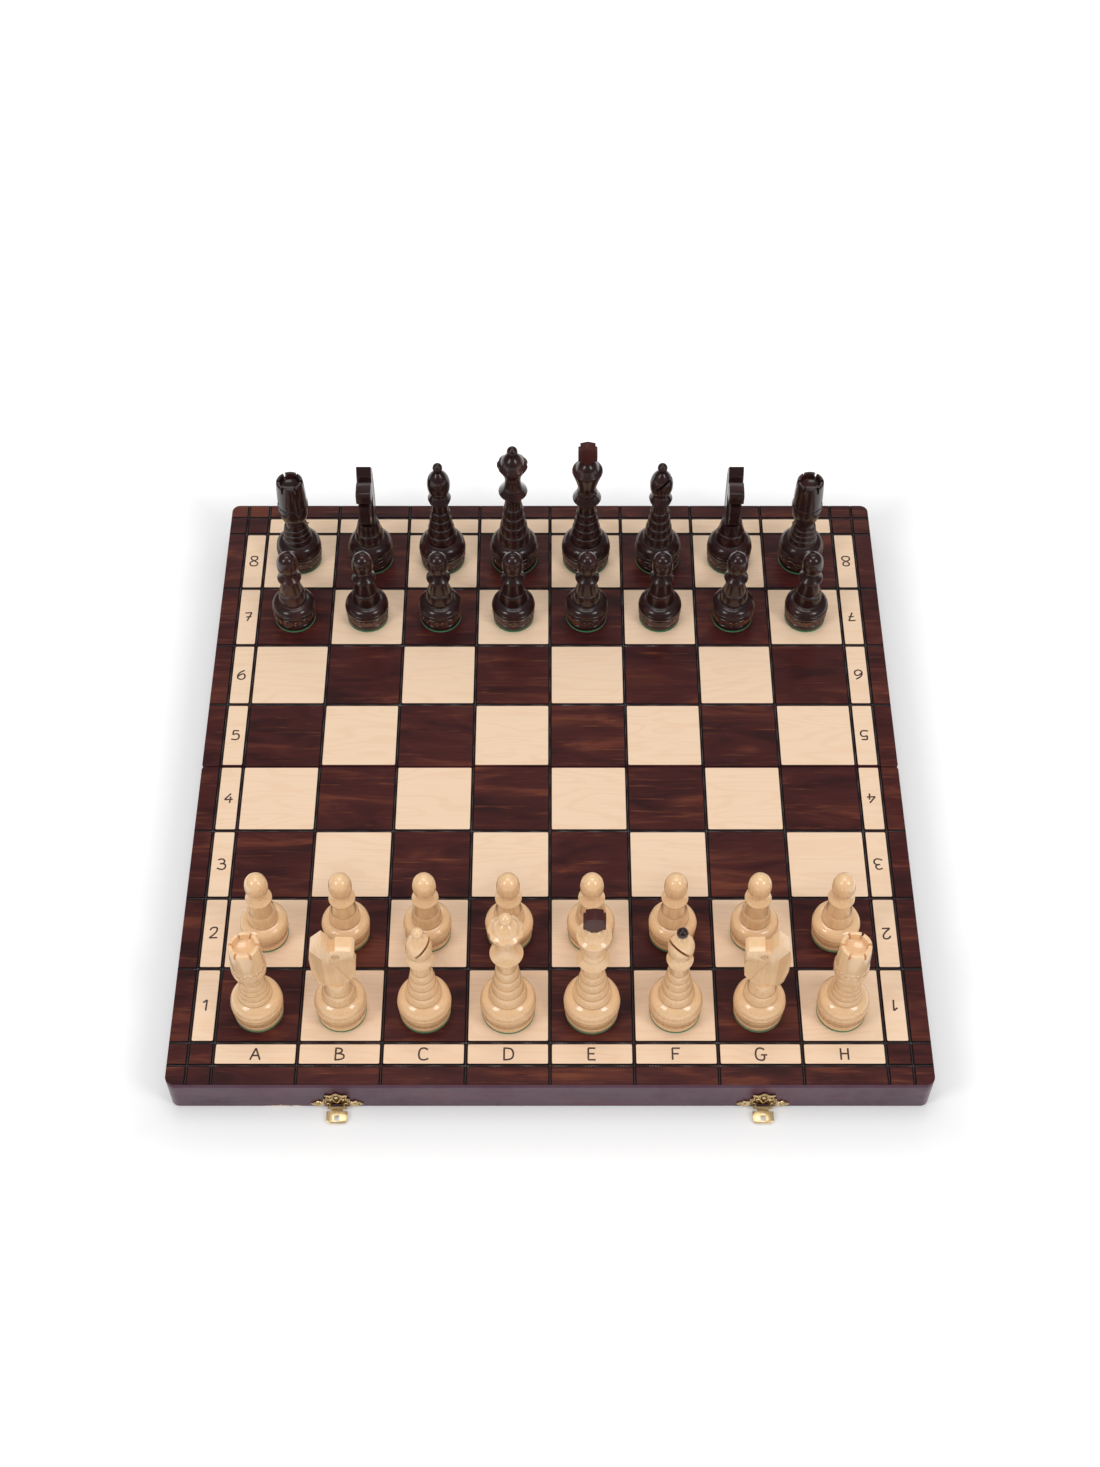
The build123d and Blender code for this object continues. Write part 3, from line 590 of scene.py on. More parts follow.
# The clasps: a stamped plate with a pierced crown and pressed scrolls, held by two round-headed
# screws, and a tongue on a wire pin that swings up over the catch's stud when the box is shut.
clasp_places = (-140.0, 140.0)
sheet = 0.8
plate_right = [(0, 20.5), (1.5, 19.3), (3.4, 16.9), (5.6, 17.0), (7.1, 17.7), (7.3, 16.3), (6.1, 14.7),
               (6.9, 12.6), (8.9, 11.4), (8.6, 9.6), (9.4, 7.4), (11.2, 7.0), (12.9, 8.9), (13.6, 7.2),
               (15.6, 6.0), (17.6, 4.4), (15.4, 3.0), (13.6, 1.9), (12.9, 0.4), (11.0, 1.2), (8.0, 0.6)]
plate_beads = [(0, 14.4, 1.35), (0, 18.0, 0.6), (6.9, 17.0, 0.62), (-6.9, 17.0, 0.62), (8.3, 10.6, 0.55),
               (-8.3, 10.6, 0.55)]
plate_curls = [([(0.3, 6.4), (1.6, 8.6), (2.3, 11.6), (4.6, 12.2), (5.2, 10.2), (3.7, 9.6)], 0.5),
               ([(1.9, 14.2), (3.4, 13.6), (4.6, 15.0), (6.3, 16.6)], 0.42),
               ([(6.0, 13.0), (5.6, 10.4), (7.6, 9.8), (7.2, 7.2)], 0.42),
               ([(0.0, 18.7), (1.6, 16.6), (3.4, 15.6), (5.2, 15.9)], 0.36),
               ([(8.8, 6.2), (10.4, 4.2), (9.2, 2.6)], 0.36)]
lug_hook = [(-0.6, 3.4), (-0.4, 5.2), (0.6, 6.2), (1.4, 5.0)]
barrel_height, barrel_radius, barrel_out = 2.2, 1.15, 2.15
tongue_half_barrel, lug, lug_gap = 4.0, 2.2, 0.2
window = (6.6, 3.0, 1.7)
window_level = 5.5
rim_inset, rim_rise, rim_radius = 0.955, 0.35, 0.36
notch_foot, notch_top, plate_ease = 0.6, 3.85, 0.16
screw_places = (-13.0, 13.0)
screw_level, screw_radius = 4.4, 1.5
screw_cross = (1.7, 0.42, 1.2)


def clasp_hollows(spot):
    """Dark patina between the crown's pressed scrolls, and painted shade in a ring round each screw."""
    place = apart(spot)
    across = calc("SUBTRACT", calc("ABSOLUTE", place["X"]), clasp_places[1])
    across = calc("ABSOLUTE", across)
    raised = calc("MULTIPLY_ADD", place["Y"], -1.0, -board_half - sheet)
    crown = between(across, 9.4, 7.6)
    to_screw = add("ShaderNodeCombineXYZ", {"X": calc("SUBTRACT", across, screw_places[1]),
                                            "Y": calc("SUBTRACT", place["Z"], screw_level)})
    away = add("ShaderNodeVectorMath", {0: to_screw.outputs[0]}, operation="LENGTH").outputs["Value"]
    # The ring round each screw's head is painted shade; the darkness between the scrolls is patina.
    dark = calc("MAXIMUM", crown, between(away, 2.3, 1.9))
    return calc("MULTIPLY", dark, between(raised, 0.36, 0.08))


# The clasp plates carry patina between their scrolls and painted shade round their screws.
plate_finish = brass("clasp_brass", 0.3, clasp_hollows)
tongue_finish = brass("tongue_brass", 0.2)


def sawn(outline, start, depth):
    """An outline in XZ, cut out of sheet or board that goes from start along Y."""
    bm = bmesh.new()
    face = bm.faces.new([bm.verts.new((x, start, z)) for x, z in outline])
    grown = bmesh.ops.extrude_face_region(bm, geom=[face])
    moved = [v for v in grown["geom"] if isinstance(v, bmesh.types.BMVert)]
    bmesh.ops.translate(bm, vec=(0, depth, 0), verts=moved)
    bmesh.ops.recalc_face_normals(bm, faces=bm.faces)
    return bm


def ease(bm, edges, offset, segments=2):
    """Takes sharp edges off, round."""
    bmesh.ops.bevel(bm, geom=edges, offset=offset, segments=segments, profile=0.5, affect="EDGES",
                    material=-1, clamp_overlap=True)


def turned_bar(radius, length, place, segments):
    """A round bar or disc, its middle at place."""
    bm = bmesh.new()
    bmesh.ops.create_cone(bm, cap_ends=True, segments=segments, radius1=radius, radius2=radius,
                          depth=length, matrix=place)
    return bm


def rod(start, end, radius, segments):
    """A round rod from one point to another."""
    along = Vector(end) - Vector(start)
    turn = along.to_track_quat("Z", "Y").to_matrix().to_4x4()
    middle = Matrix.Translation((Vector(start) + Vector(end)) / 2)
    return mesh_of(turned_bar(radius, along.length, middle @ turn, segments))


def shaped(body, tool, operation="DIFFERENCE"):
    """Cuts a tool's shape out of a body, or joins it on. Both have the three places for finishes."""
    held = [bpy.data.objects.new("held", mesh) for mesh in (body, tool)]
    for item in held:
        while len(item.data.materials) < 3:
            item.data.materials.append(None)
        scene.collection.objects.link(item)
    cut = held[0].modifiers.new("cut", "BOOLEAN")
    cut.object, cut.operation, cut.solver = held[1], operation, "EXACT"
    made = finished(held[0])
    for item in held:
        bpy.data.objects.remove(item)
    return made


def block(size, place, turn=Matrix.Identity(4), soften=0.0):
    """A sawn block, turned about its own middle."""
    bm = bmesh.new()
    shape = Matrix.Translation(place) @ turn @ Matrix.Diagonal((*size, 1))
    bmesh.ops.create_cube(bm, size=1.0, matrix=shape)
    if soften:
        ease(bm, bm.edges[:], soften)
    return mesh_of(bm)


def round_screw(x):
    """A domed head with a cross recess, on the face of the plate."""
    bm = bmesh.new()
    bmesh.ops.create_uvsphere(bm, u_segments=28, v_segments=16, radius=screw_radius)
    bmesh.ops.bisect_plane(bm, geom=bm.verts[:] + bm.edges[:] + bm.faces[:], plane_co=(0, 0, 0),
                           plane_no=(0, 0, -1), clear_outer=True)
    bmesh.ops.holes_fill(bm, edges=bm.edges, sides=0)
    bmesh.ops.scale(bm, vec=(1, 1, 0.62), verts=bm.verts)
    head = mesh_of(bm)
    for turn in (0.5, 0.5 + quarter):
        head = shaped(head, block(screw_cross, (0, 0, 0.95), Matrix.Rotation(turn, 4, "Z")))
    place = Matrix.Translation((x, -board_half - sheet, screw_level))
    head.transform(place @ Matrix.Rotation(quarter, 4, "X"))
    return head


def together(*meshes):
    bm = bmesh.new()
    for mesh in meshes:
        bm.from_mesh(mesh)
    return mesh_of(bm)


def clasp_plate(x):
    notch = tongue_half_barrel + lug_gap
    left = [(-a, b) for a, b in reversed(plate_right)]
    foot = [(notch, notch_foot), (notch, notch_top), (-notch, notch_top), (-notch, notch_foot)]
    bm = sawn(plate_right + foot + left[:-1], 0, -sheet)
    ease(bm, bm.edges[:], plate_ease)
    plate = shaped(mesh_of(bm), block(window, (0, -sheet, window_level)))
    rim = [(a * rim_inset, b * rim_inset + rim_rise) for a, b in plate_right[:-2]]
    raised = [wire([[(way * a, 0, b) for a, b in points]], radius, along=5)
              for way in (-1, 1) for points, radius in plate_curls]
    raised += [wire([[(way * a, 0, b) for a, b in rim]], rim_radius, along=4) for way in (-1, 1)]
    relief = together(*raised)
    relief.transform(Matrix.Translation((0, -sheet, 0)))
    beads = bmesh.new()
    for a, b, radius in plate_beads:
        place = Matrix.Translation((a, -sheet, b))
        bmesh.ops.create_icosphere(beads, subdivisions=2, radius=radius, matrix=place)
    parts = [plate, relief, mesh_of(beads)]
    for way in (-1, 1):
        lug_middle = way * (notch + lug / 2)
        near, far = ((lug_middle + side * lug / 2, -barrel_out, barrel_height) for side in (-1, 1))
        root = (lug_middle, -barrel_out / 2, barrel_height)
        hook = [(lug_middle + way * dx, -sheet, z) for dx, z in lug_hook]
        parts += [rod(near, far, barrel_radius, 24), wire([hook], 0.5, along=4),
                  block((lug, barrel_out, 1.6 * barrel_radius), root, soften=0.2)]
    whole = together(*parts)
    whole.transform(to_metres @ Matrix.Translation((x, -board_half, 0)))
    return whole


plates = together(*[clasp_plate(x) for x in clasp_places])
piece_of(plates, "clasp_crowned_plates", [plate_finish], "front_half", "brass", "clasp_plates")
heads = together(*[round_screw(x + dx) for x in clasp_places for dx in screw_places])
heads.transform(to_metres)
piece_of(heads, "clasp_round_screws", [brass_finish], "front_half", "brass", "clasp_screws")

# The tongues: each is of the same sheet as its plate, rounded at its end and rolled round the pin, with
# a slot that snaps over the catch's stud.
tongue_width, tongue_length, tongue_tilt = 14.0, 11.0, math.radians(82)
tongue_root, tongue_corner = 2.75, 3.2
slot_from_axis, slot_size = 7.4, (3.6, 3.0, 3.8)
pin_bore = 0.55


def arc(start, through, end, steps):
    """Points on the circle through three points, from after the first to the last."""
    a, b, c = (complex(*point) for point in (start, through, end))
    ratio = (c - a) / (b - a)
    centre = a + (b - a) * (ratio - abs(ratio) ** 2) / (2j * ratio.imag)
    sweep, part = (cmath.phase((point - centre) / (a - centre)) % (2 * math.pi) for point in (c, b))
    if part > sweep:
        sweep -= 2 * math.pi
    points = [centre + (a - centre) * cmath.exp(1j * sweep * k / steps) for k in range(1, steps + 1)]
    return [(point.real, point.imag) for point in points]


def clasp_tongue(x):
    neck = tongue_half_barrel - lug_gap
    half, end = tongue_width / 2, tongue_length
    right = [(neck, 0.6), (neck, tongue_root), (half, tongue_root), (half, end - tongue_corner)]
    right += arc(right[-1], (half - 0.9, end - 0.9), (half - tongue_corner, end - 0.1), 6)
    bm = sawn([(a, -b) for a, b in right] + [(-a, -b) for a, b in reversed(right)], sheet / 2, -sheet)
    ease(bm, bm.edges[:], 0.14)
    leaf = shaped(mesh_of(bm), block(slot_size, (0, 0, -slot_from_axis)))
    barrel = rod((-tongue_half_barrel, 0, 0), (tongue_half_barrel, 0, 0), barrel_radius, 24)
    barrel = shaped(barrel, rod((-6, 0, 0), (6, 0, 0), pin_bore, 16))
    whole = together(leaf, barrel)
    hung = Matrix.Translation((x, -board_half - barrel_out, barrel_height))
    whole.transform(to_metres @ hung @ Matrix.Rotation(-tongue_tilt, 4, "X"))
    return whole


for side, x in zip(("left", "right"), clasp_places):
    flap = f"clasp_flap_{side}"
    piece_of(clasp_tongue(x), f"clasp_tongue_{side}", [tongue_finish], flap, "brass", flap)

# The men: turned from box and lacquered, the light ones left as they are and the dark ones stained almost
# black. The band round each foot is rolled with a burnt chain between two grooves.
felt_thickness = 1.0
felt_inset = 1.0
bead_top = 5.2
band = (6.0, 12.3)
band_in = (0.9, 0.5)
shoulder_base = 13.3
lip_height = 3.2
chain_eyes, chain_swing, chain_thickness, chain_dot = 24, 1.9, 0.3, 0.6
boxwood = (0.92, 0.605, 0.335, 1)
boxwood_deep = (0.78, 0.45, 0.205, 1)
toasted = (0.52, 0.28, 0.115, 1)
toasted_pale = (0.66, 0.41, 0.20, 1)
ebonised = (0.024, 0.0075, 0.0075, 1)
ebonised_red = (0.060, 0.016, 0.012, 1)
rubbed_red = (0.30, 0.085, 0.03, 1)
foot_segments = 96
groove_height = 0.75

# Where the foot is darker: the band as a whole, which is burnt, and the two grooves beside it, which carry
# painted shade.
foot_burn_and_shade, taken, given = new_group("foot_burn_and_shade", ["Position"], ["Band", "Grooves"])
height = calc("SUBTRACT", apart(taken["Position"])["Z"], board_top)
over = between(height, band[0] - 0.2, band[0] + 0.2)
under = between(height, band[1] + 0.2, band[1] - 0.2)
lines = []
# Each of these narrow lines is painted shade in a groove beside the band.
for middle in ((bead_top + band[0]) / 2, (band[1] + shoulder_base) / 2):
    away = calc("ABSOLUTE", calc("SUBTRACT", height, middle))
    lines.append(between(away, 0.42, 0.2))
feed(given, Band=calc("MULTIPLY", over, under), Grooves=calc("ADD", *lines))


def upright_grain(spot):
    """The wood grain, running up the man."""
    turned = add("ShaderNodeMapping", {"Vector": spot, "Rotation": (0, quarter, 0)})
    return placed_group(grain, turned.outputs[0])


light_finish, shader, spot = new_finish("lacquered_boxwood", Specular_IOR_Level=0.45, Coat_Weight=1.0,
                                        Coat_Roughness=0.08)
wood = upright_grain(spot)
worn = placed_group(handling, spot)
foot = placed_group(foot_burn_and_shade, spot)
tone = mixed(between(wood["Fibre"], 0.42, 0.68, most=0.40), boxwood, boxwood_deep)
tone = mixed(between(wood["Cloud"], 0.45, 0.7, most=0.18), tone, boxwood_deep)
tone = mixed(calc("MULTIPLY", foot["Band"], 0.30), tone, toasted)
# The grooves beside the band are darkened with toasted brown as painted shade.
tone = mixed(calc("MULTIPLY", foot["Grooves"], 0.75), tone, toasted)
lacquer(shader, wood, worn, tone, 0.5, (0.36, 0.5), 0.03)

dark_finish, shader, spot = new_finish("ebonised_boxwood", Specular_IOR_Level=0.2, Coat_Weight=0.6,
                                       Coat_Roughness=0.13)
wood = upright_grain(spot)
worn = placed_group(handling, spot)
foot = placed_group(foot_burn_and_shade, spot)
tone = mixed(between(wood["Cloud"], 0.5, 0.72, most=0.8), ebonised, ebonised_red)
fleck = between(stretched_noise(spot, (0.45, 0.45, 0.7), 3.0), 0.52, 0.66, most=0.7)
tone = mixed(calc("MULTIPLY", foot["Band"], fleck), tone, rubbed_red)
lacquer(shader, wood, worn, tone, 0.0, (0.32, 0.45), 0.03)


def above(height, *points):
    return [(radius, height + rise) for radius, rise in points]


def draw(outline, height, *steps):
    """Carries an outline on above a height: to a point, or in an arc through one point to another, with
    its number of facets."""
    for step in steps:
        if len(step) == 3:
            outline += arc(outline[-1], *above(height, *step[:2]), step[2])
        else:
            outline += above(height, step)


def stem(foot, shoulder, rings, narrowest, neck):
    """From the felt's middle out and up over bead, band, lip and round shoulder, then swelling rings up to
    the neck; with the heights of the grooves under the rings, which are darkened as painted shade."""
    lip_top, shelf = shoulder_base + lip_height, shoulder_base + shoulder
    outline = [(0, felt_thickness)]
    draw(outline, 0, (foot - 1.7, felt_thickness), (foot - 1.1, felt_thickness + 0.6),
         (foot - 0.9, bead_top - 0.3), (foot - 1.6, bead_top + 0.3), (foot - band_in[0], band[0]),
         (foot - band_in[1], band[1]), (foot - 1.2, band[1] + 0.5), (foot - 0.3, shoulder_base + 0.1),
         ((foot, shoulder_base + 0.55 * lip_height), (foot - 0.3, lip_top), 4),
         (foot - 0.8, lip_top + 0.35), (foot - 0.35, lip_top + 0.7),
         ((foot - 1.4, lip_top + 0.55 * (shoulder - lip_height)), (foot - 5.6, shelf), 10))
    lowest = foot - 5.9
    pitch = (neck[1] - shelf) / rings
    radii = [lowest + (narrowest - lowest) * (k / (rings - 1)) ** 0.8 for k in range(rings)]
    grooves = [(shelf + pitch * k, shelf + pitch * k + groove_height) for k in range(rings)]
    for k, (radius, (low, high)) in enumerate(zip(radii, grooves)):
        draw(outline, high, (radius - 1.0, 0), (radius, 0.15))
        if k + 1 < rings:
            swell = (radius - 0.22 * (radius - radii[k + 1]), 0.6 * pitch)
            draw(outline, low, (swell, (radii[k + 1] + 0.3, pitch), 6))
    return outline + [neck], grooves


def lathe(outline, shaded_heights):
    """Turns an outline about the axis, its sharp corners taken off a little, and gives it the darker
    cut finish between some heights, as painted shade in the grooves under the rings."""
    bm = bmesh.new()
    corners = [bm.verts.new((radius, 0, height)) for radius, height in outline]
    for here, there in zip(corners, corners[1:]):
        bm.edges.new((here, there))
    sharp = [v for v in corners[1:-1] if v.calc_edge_angle(0) > sharp_from]
    bmesh.ops.bevel(bm, geom=sharp, offset=0.2, offset_type="OFFSET", segments=2, profile=0.5,
                    affect="VERTICES", material=-1, clamp_overlap=True)
    bmesh.ops.spin(bm, geom=bm.verts[:] + bm.edges[:], cent=(0, 0, 0), axis=(0, 0, 1), dvec=(0, 0, 0),
                   angle=2 * math.pi, steps=foot_segments, use_merge=True)
    bmesh.ops.remove_doubles(bm, verts=bm.verts, dist=1e-4)
    bmesh.ops.recalc_face_normals(bm, faces=bm.faces)
    # Faces between those heights take the third, darker finish: painted shade in the grooves under the
    # rings.
    for face in bm.faces:
        if any(low < face.calc_center_median().z < high for low, high in shaded_heights):
            face.material_index = 2
    return mesh_of(bm)


def round_axis(reach, turn, height):
    return (reach * math.cos(turn), reach * math.sin(turn), height)


def foot_chain(foot):
    """Two waves that cross round the band, and a dot in each eye between them."""
    steps = 6 * chain_eyes
    middle = sum(band) / 2
    reach = foot - sum(band_in) / 2
    lean = (band_in[0] - band_in[1]) / (band[1] - band[0])
    waves = []
    for way in (-1, 1):
        rises = [way * chain_swing * math.sin(math.pi * k * chain_eyes / steps) for k in range(steps)]
        waves.append([round_axis(reach + lean * rise, 2 * math.pi * k / steps, middle + rise)
                      for k, rise in enumerate(rises)])
    bm = bmesh.new()
    bm.from_mesh(wire(waves, chain_thickness, closed=True, sides=0))
    for k in range(chain_eyes):
        place = Matrix.Translation(round_axis(reach, 2 * math.pi * (k + 0.5) / chain_eyes, middle))
        bmesh.ops.create_icosphere(bm, subdivisions=1, radius=chain_dot, matrix=place)
    return mesh_of(bm)


# The pawn: turned in one piece, with two rings, a thin lens of a collar and an egg for a head. There are
# eight a side.
pawn_foot, pawn_height, pawn_head, pawn_cap, pawn_shoulder = 16.2, 72.0, 29.0, 7.3, 8.2


def turned_pawn():
    neck = pawn_height - pawn_head
    outline, grooves = stem(pawn_foot, pawn_shoulder, 2, 8.7, (6.3, neck))
    cap_start, cap_side = [(pawn_cap * math.cos(turn), pawn_head - pawn_cap + pawn_cap * math.sin(turn))
                           for turn in (math.radians(15), math.radians(52.5))]
    draw(outline, neck, (8.3, 2.4), ((8.9, 3.6), (8.6, 4.8), 4), (4.9, 8.0), ((7.1, 12.6), (7.8, 17.6), 6),
         ((7.6, 20.8), cap_start, 4), (cap_side, (0, pawn_head), 8))
    return lathe(outline, grooves)


# The rook: a barrel of a tower turned with its foot. A bowl is sunk in its top, six slots are sawn in the
# rim and a zigzag is scored round it.
rook_foot, rook_height, rook_head, officer_shoulder = 17.2, 88.0, 43.5, 11.4
crown_slot, slot_down = (30, 1.7, 5.0), 2.4
zigzag_teeth, zigzag_reach, zigzag_level, zigzag_swing = 17, 11.1, 20.0, 0.7


def burning(tool):
    """Marks a tool whose cut is left brown."""
    tool.polygons.foreach_set("material_index", [2] * len(tool.polygons))
    return tool


def turned_rook():
    neck, top = rook_height - rook_head, rook_head
    outline, grooves = stem(rook_foot, officer_shoulder, 4, 8.4, (7.2, neck))
    draw(outline, neck, (8.6, 3.4), ((10.9, 11.0), (11.3, 19.8), 8), (10.7, 20.8),
         ((10.6, 31.0), (9.9, top - 0.6), 6), (9.4, top), (7.3, top), (6.9, top - 5.2),
         ((4.0, top - 6.1), (0, top - 6.4), 5))
    body = lathe(outline, grooves)
    for k in range(3):
        turn = Matrix.Rotation(math.pi * k / 3, 4, "Z")
        body = shaped(body, block(crown_slot, (0, 0, rook_height - slot_down), turn))
    level = neck + zigzag_level
    zigzag = [round_axis(zigzag_reach, math.pi * k / zigzag_teeth, level + zigzag_swing * (-1) ** k)
              for k in range(2 * zigzag_teeth)]
    return shaped(body, burning(wire([zigzag], 0.45, closed=True, sides=1)))


# The knight: its head is sawn from a flat plate and let into the turned foot. Its edges are eased, the
# chest is planed back on both flanks, and mane and eye are cut with a small gouge.
knight_foot, knight_height, knight_head, knight_plate = 17.2, 97.0, 53.0, 11.0
planed_throat, planed_chest = 0.9, 2.2
mane_strokes, mane_lean, mane_out, mane_level = 11, Vector((0.47, 0, -0.88)), -10.2, 39.0
stroke_pitch, stroke_half, stroke_radius, stroke_above = 3.3, 6.6, 0.48, 0.12
eye_out, eye_level, eye_radius, pupil_radius = 2.6, 37.4, 2.1, 0.8


def sawn_board(outline, thickness, soften=0.0):
    """An outline in XZ sawn out of a board, centred on Y, its edges eased."""
    bm = sawn(outline, -thickness / 2, thickness)
    if soften:
        ease(bm, bm.edges[:], soften, 3)
    return mesh_of(bm)


def planed_flank(outline, flank):
    """What the plane takes off one flank, more of it at the chest than at the throat."""
    near = flank * (knight_plate / 2 - planed_throat)
    bm = sawn(outline, near, flank * knight_plate - near)
    front = max(x for x, _ in outline)
    edge = [v for v in bm.verts if v.co.x == front and abs(v.co.y - near) < 1e-4]
    bmesh.ops.translate(bm, vec=(0, flank * (planed_throat - planed_chest), 0), verts=edge)
    return mesh_of(bm)


def carved_knight():
    saddle = knight_height - knight_head
    outline, grooves = stem(knight_foot, officer_shoulder, 2, 9.6, (7.6, saddle))
    draw(outline, saddle, (7.4, 0.6), (0, 0.6))
    body = lathe(outline, grooves)
    head = above(saddle, (-10.0, 0), (4.5, 0), (13.2, 11.0), (14.2, 25.0), (12.4, 31.0), (12.8, 32.8),
                 (14.2, 34.6), (14.6, 42.4), (13.0, 44.2), (2.4, 45.0), (1.2, 42.2), (-1.0, 41.6),
                 (-2.2, 46.2), (-6.0, knight_head), (-13.4, 44.0), (-14.6, 33.0), (-14.4, 18.5),
                 (-12.4, 5.0))
    mouth = above(saddle, (-1.2, 29.6), (16.0, 29.4), (16.0, 34.2), (-1.2, 30.2))
    chest = above(saddle, (-0.8, 29.9), (18.0, 31.0), (18.0, 6.0), (9.4, 6.0))
    tools = [sawn_board(mouth, 2 * knight_plate)]
    for flank in (-1, 1):
        tools.append(planed_flank(chest, flank))
        face = flank * (knight_plate / 2 + stroke_above)
        for k in range(mane_strokes):
            middle = Vector((mane_out + 0.12 * k, face, saddle + mane_level - stroke_pitch * k))
            stroke = mane_lean * (stroke_half - 0.2 * k)
            tools.append(burning(rod(middle - stroke, middle + stroke, stroke_radius, 7)))
        eye = Vector((eye_out, flank * knight_plate / 2, saddle + eye_level))
        ring = [(eye.x + eye_radius * math.cos(turn), eye.y, eye.z + eye_radius * math.sin(turn))
                for turn in (2 * math.pi * k / 24 for k in range(24))]
        tools.append(burning(wire([ring], 0.5, closed=True, sides=1)))
        bm = bmesh.new()
        bmesh.ops.create_icosphere(bm, subdivisions=2, radius=pupil_radius, matrix=Matrix.Translation(eye))
        tools.append(burning(mesh_of(bm)))
    plate = sawn_board(head, knight_plate, 0.6)
    for tool in tools:
        plate = shaped(plate, tool)
    return shaped(body, plate, "UNION")


# The bishop: five rings, a double collar and a mitre with a slant saw cut, under a small ball. The light
# bishop of the f file has a ball of dark wood glued on instead.
bishop_foot, bishop_height, bishop_head, ball_radius = 17.8, 106.0, 41.5, 3.7
bishop_seat = bishop_height - 2 * ball_radius - 0.2
mitre_cut, mitre_cut_lean, mitre_cut_out, mitre_cut_level = (1.7, 36, 15), math.radians(38), 4.6, 26.2


def ball(radius, top, seat=None):
    """A turned ball, flat where it is glued on if it has a seat."""
    bm = bmesh.new()
    bmesh.ops.create_uvsphere(bm, u_segments=40, v_segments=24, radius=radius,
                              matrix=Matrix.Translation((0, 0, top - radius)))
    if seat is not None:
        cut = bmesh.ops.bisect_plane(bm, geom=bm.verts[:] + bm.edges[:] + bm.faces[:],
                                     plane_co=(0, 0, seat), plane_no=(0, 0, -1), clear_outer=True)
        rim = [part for part in cut["geom_cut"] if isinstance(part, bmesh.types.BMEdge)]
        bmesh.ops.contextual_create(bm, geom=rim)
    return mesh_of(bm)


def turned_bishop(with_ball):
    neck = bishop_height - bishop_head
    seat = bishop_seat - neck
    outline, grooves = stem(bishop_foot, officer_shoulder, 5, 6.6, (5.7, neck))
    draw(outline, neck, (7.7, 2.1), ((7.9, 2.8), (7.5, 3.3), 3), (8.5, 4.9), ((8.7, 5.7), (8.3, 6.4), 3),
         (6.0, 10.5), ((8.0, 15.5), (8.5, 20.0), 7), ((6.9, 28.4), (2.4, seat), 10), (0, seat))
    lean = Matrix.Rotation(mitre_cut_lean, 4, "Y")
    cut = block(mitre_cut, (mitre_cut_out, 0, neck + mitre_cut_level), lean)
    body = shaped(lathe(outline, grooves), burning(cut))
    return shaped(body, ball(ball_radius, bishop_height), "UNION") if with_ball else body


# The queen: turned with a tall waist over a collar. Nine flutes are gouged round her coronet, and a ball
# stands on the dome in it.
queen_foot, queen_height, queen_head, queen_rim, queen_ball = 18.5, 123.5, 54.0, 11.4, 4.1
queen_seat = queen_height - 2 * queen_ball + 0.7
flutes, flute_radius, flute_depth, flute_level = 9, 4.1, 1.0, 35.0


def turned_queen():
    neck = queen_height - queen_head
    seat = queen_seat - neck
    outline, grooves = stem(queen_foot, officer_shoulder, 5, 6.8, (5.9, neck))
    draw(outline, neck, (8.6, 4.6), (8.3, 5.8), (10.5, 7.2), ((10.8, 8.0), (10.5, 8.8), 3), (7.6, 12.4),
         (7.2, 13.4), ((5.9, 20.0), (7.6, 28.0), 8), (queen_rim, 35.6), (queen_rim, 37.0), (8.6, 38.6),
         ((6.6, 43.0), (2.6, seat), 8), (0, seat))
    body = lathe(outline, grooves)
    reach = queen_rim + flute_radius - flute_depth
    for k in range(flutes):
        place = Matrix.Translation(round_axis(reach, 2 * math.pi * k / flutes, neck + flute_level))
        body = shaped(body, mesh_of(turned_bar(flute_radius, 12, place, 40)))
    return shaped(body, ball(queen_ball, queen_height), "UNION")


# The king: turned with a flared cup over a bead, closed by a dome. A blocky cross, sawn from stained wood,
# is glued on top.
king_foot, king_height, king_head, cross_height, cross_thickness = 18.6, 126.0, 62.5, 16.5, 8.0
cross_seat = king_height - cross_height
cross_red = (0.066, 0.015, 0.013, 1)


def turned_king():
    neck = king_height - king_head
    seat = cross_seat - neck
    outline, grooves = stem(king_foot, officer_shoulder, 5, 7.1, (6.2, neck))
    draw(outline, neck, (8.8, 3.4), (8.4, 4.8), (10.4, 6.2), ((10.7, 7.0), (10.4, 7.8), 3), (7.4, 12.2),
         ((7.7, 13.8), (7.2, 15.4), 4), (6.5, 16.6), (6.7, 19.0), ((9.3, 28.9), (11.4, 35.5), 8),
         (11.1, 37.1), (8.6, 38.5), ((6.6, 43.1), (3.2, seat), 8), (0, seat))
    return lathe(outline, grooves)


cross_finish, shader, spot = new_finish("stained_cross", Specular_IOR_Level=0.2, Coat_Weight=0.2,
                                        Coat_Roughness=0.2)
wood = upright_grain(spot)
worn = placed_group(handling, spot)
tone = mixed(between(wood["Fibre"], 0.4, 0.65), cross_red, ebonised_red)
lacquer(shader, wood, worn, tone, 0.8, (0.4, 0.55), 0.04, 0.6)


def sawn_cross():
    right = above(cross_seat, (2.6, 0), (2.6, 1.0), (5.2, 2.8), (5.2, 3.4), (7.0, 3.4), (7.0, 11.4),
                  (5.4, 11.4), (5.6, cross_height - 1.6), (0, cross_height))
    left = [(-x, z) for x, z in reversed(right[:-1])]
    return sawn_board(right + left, cross_thickness, 0.45)


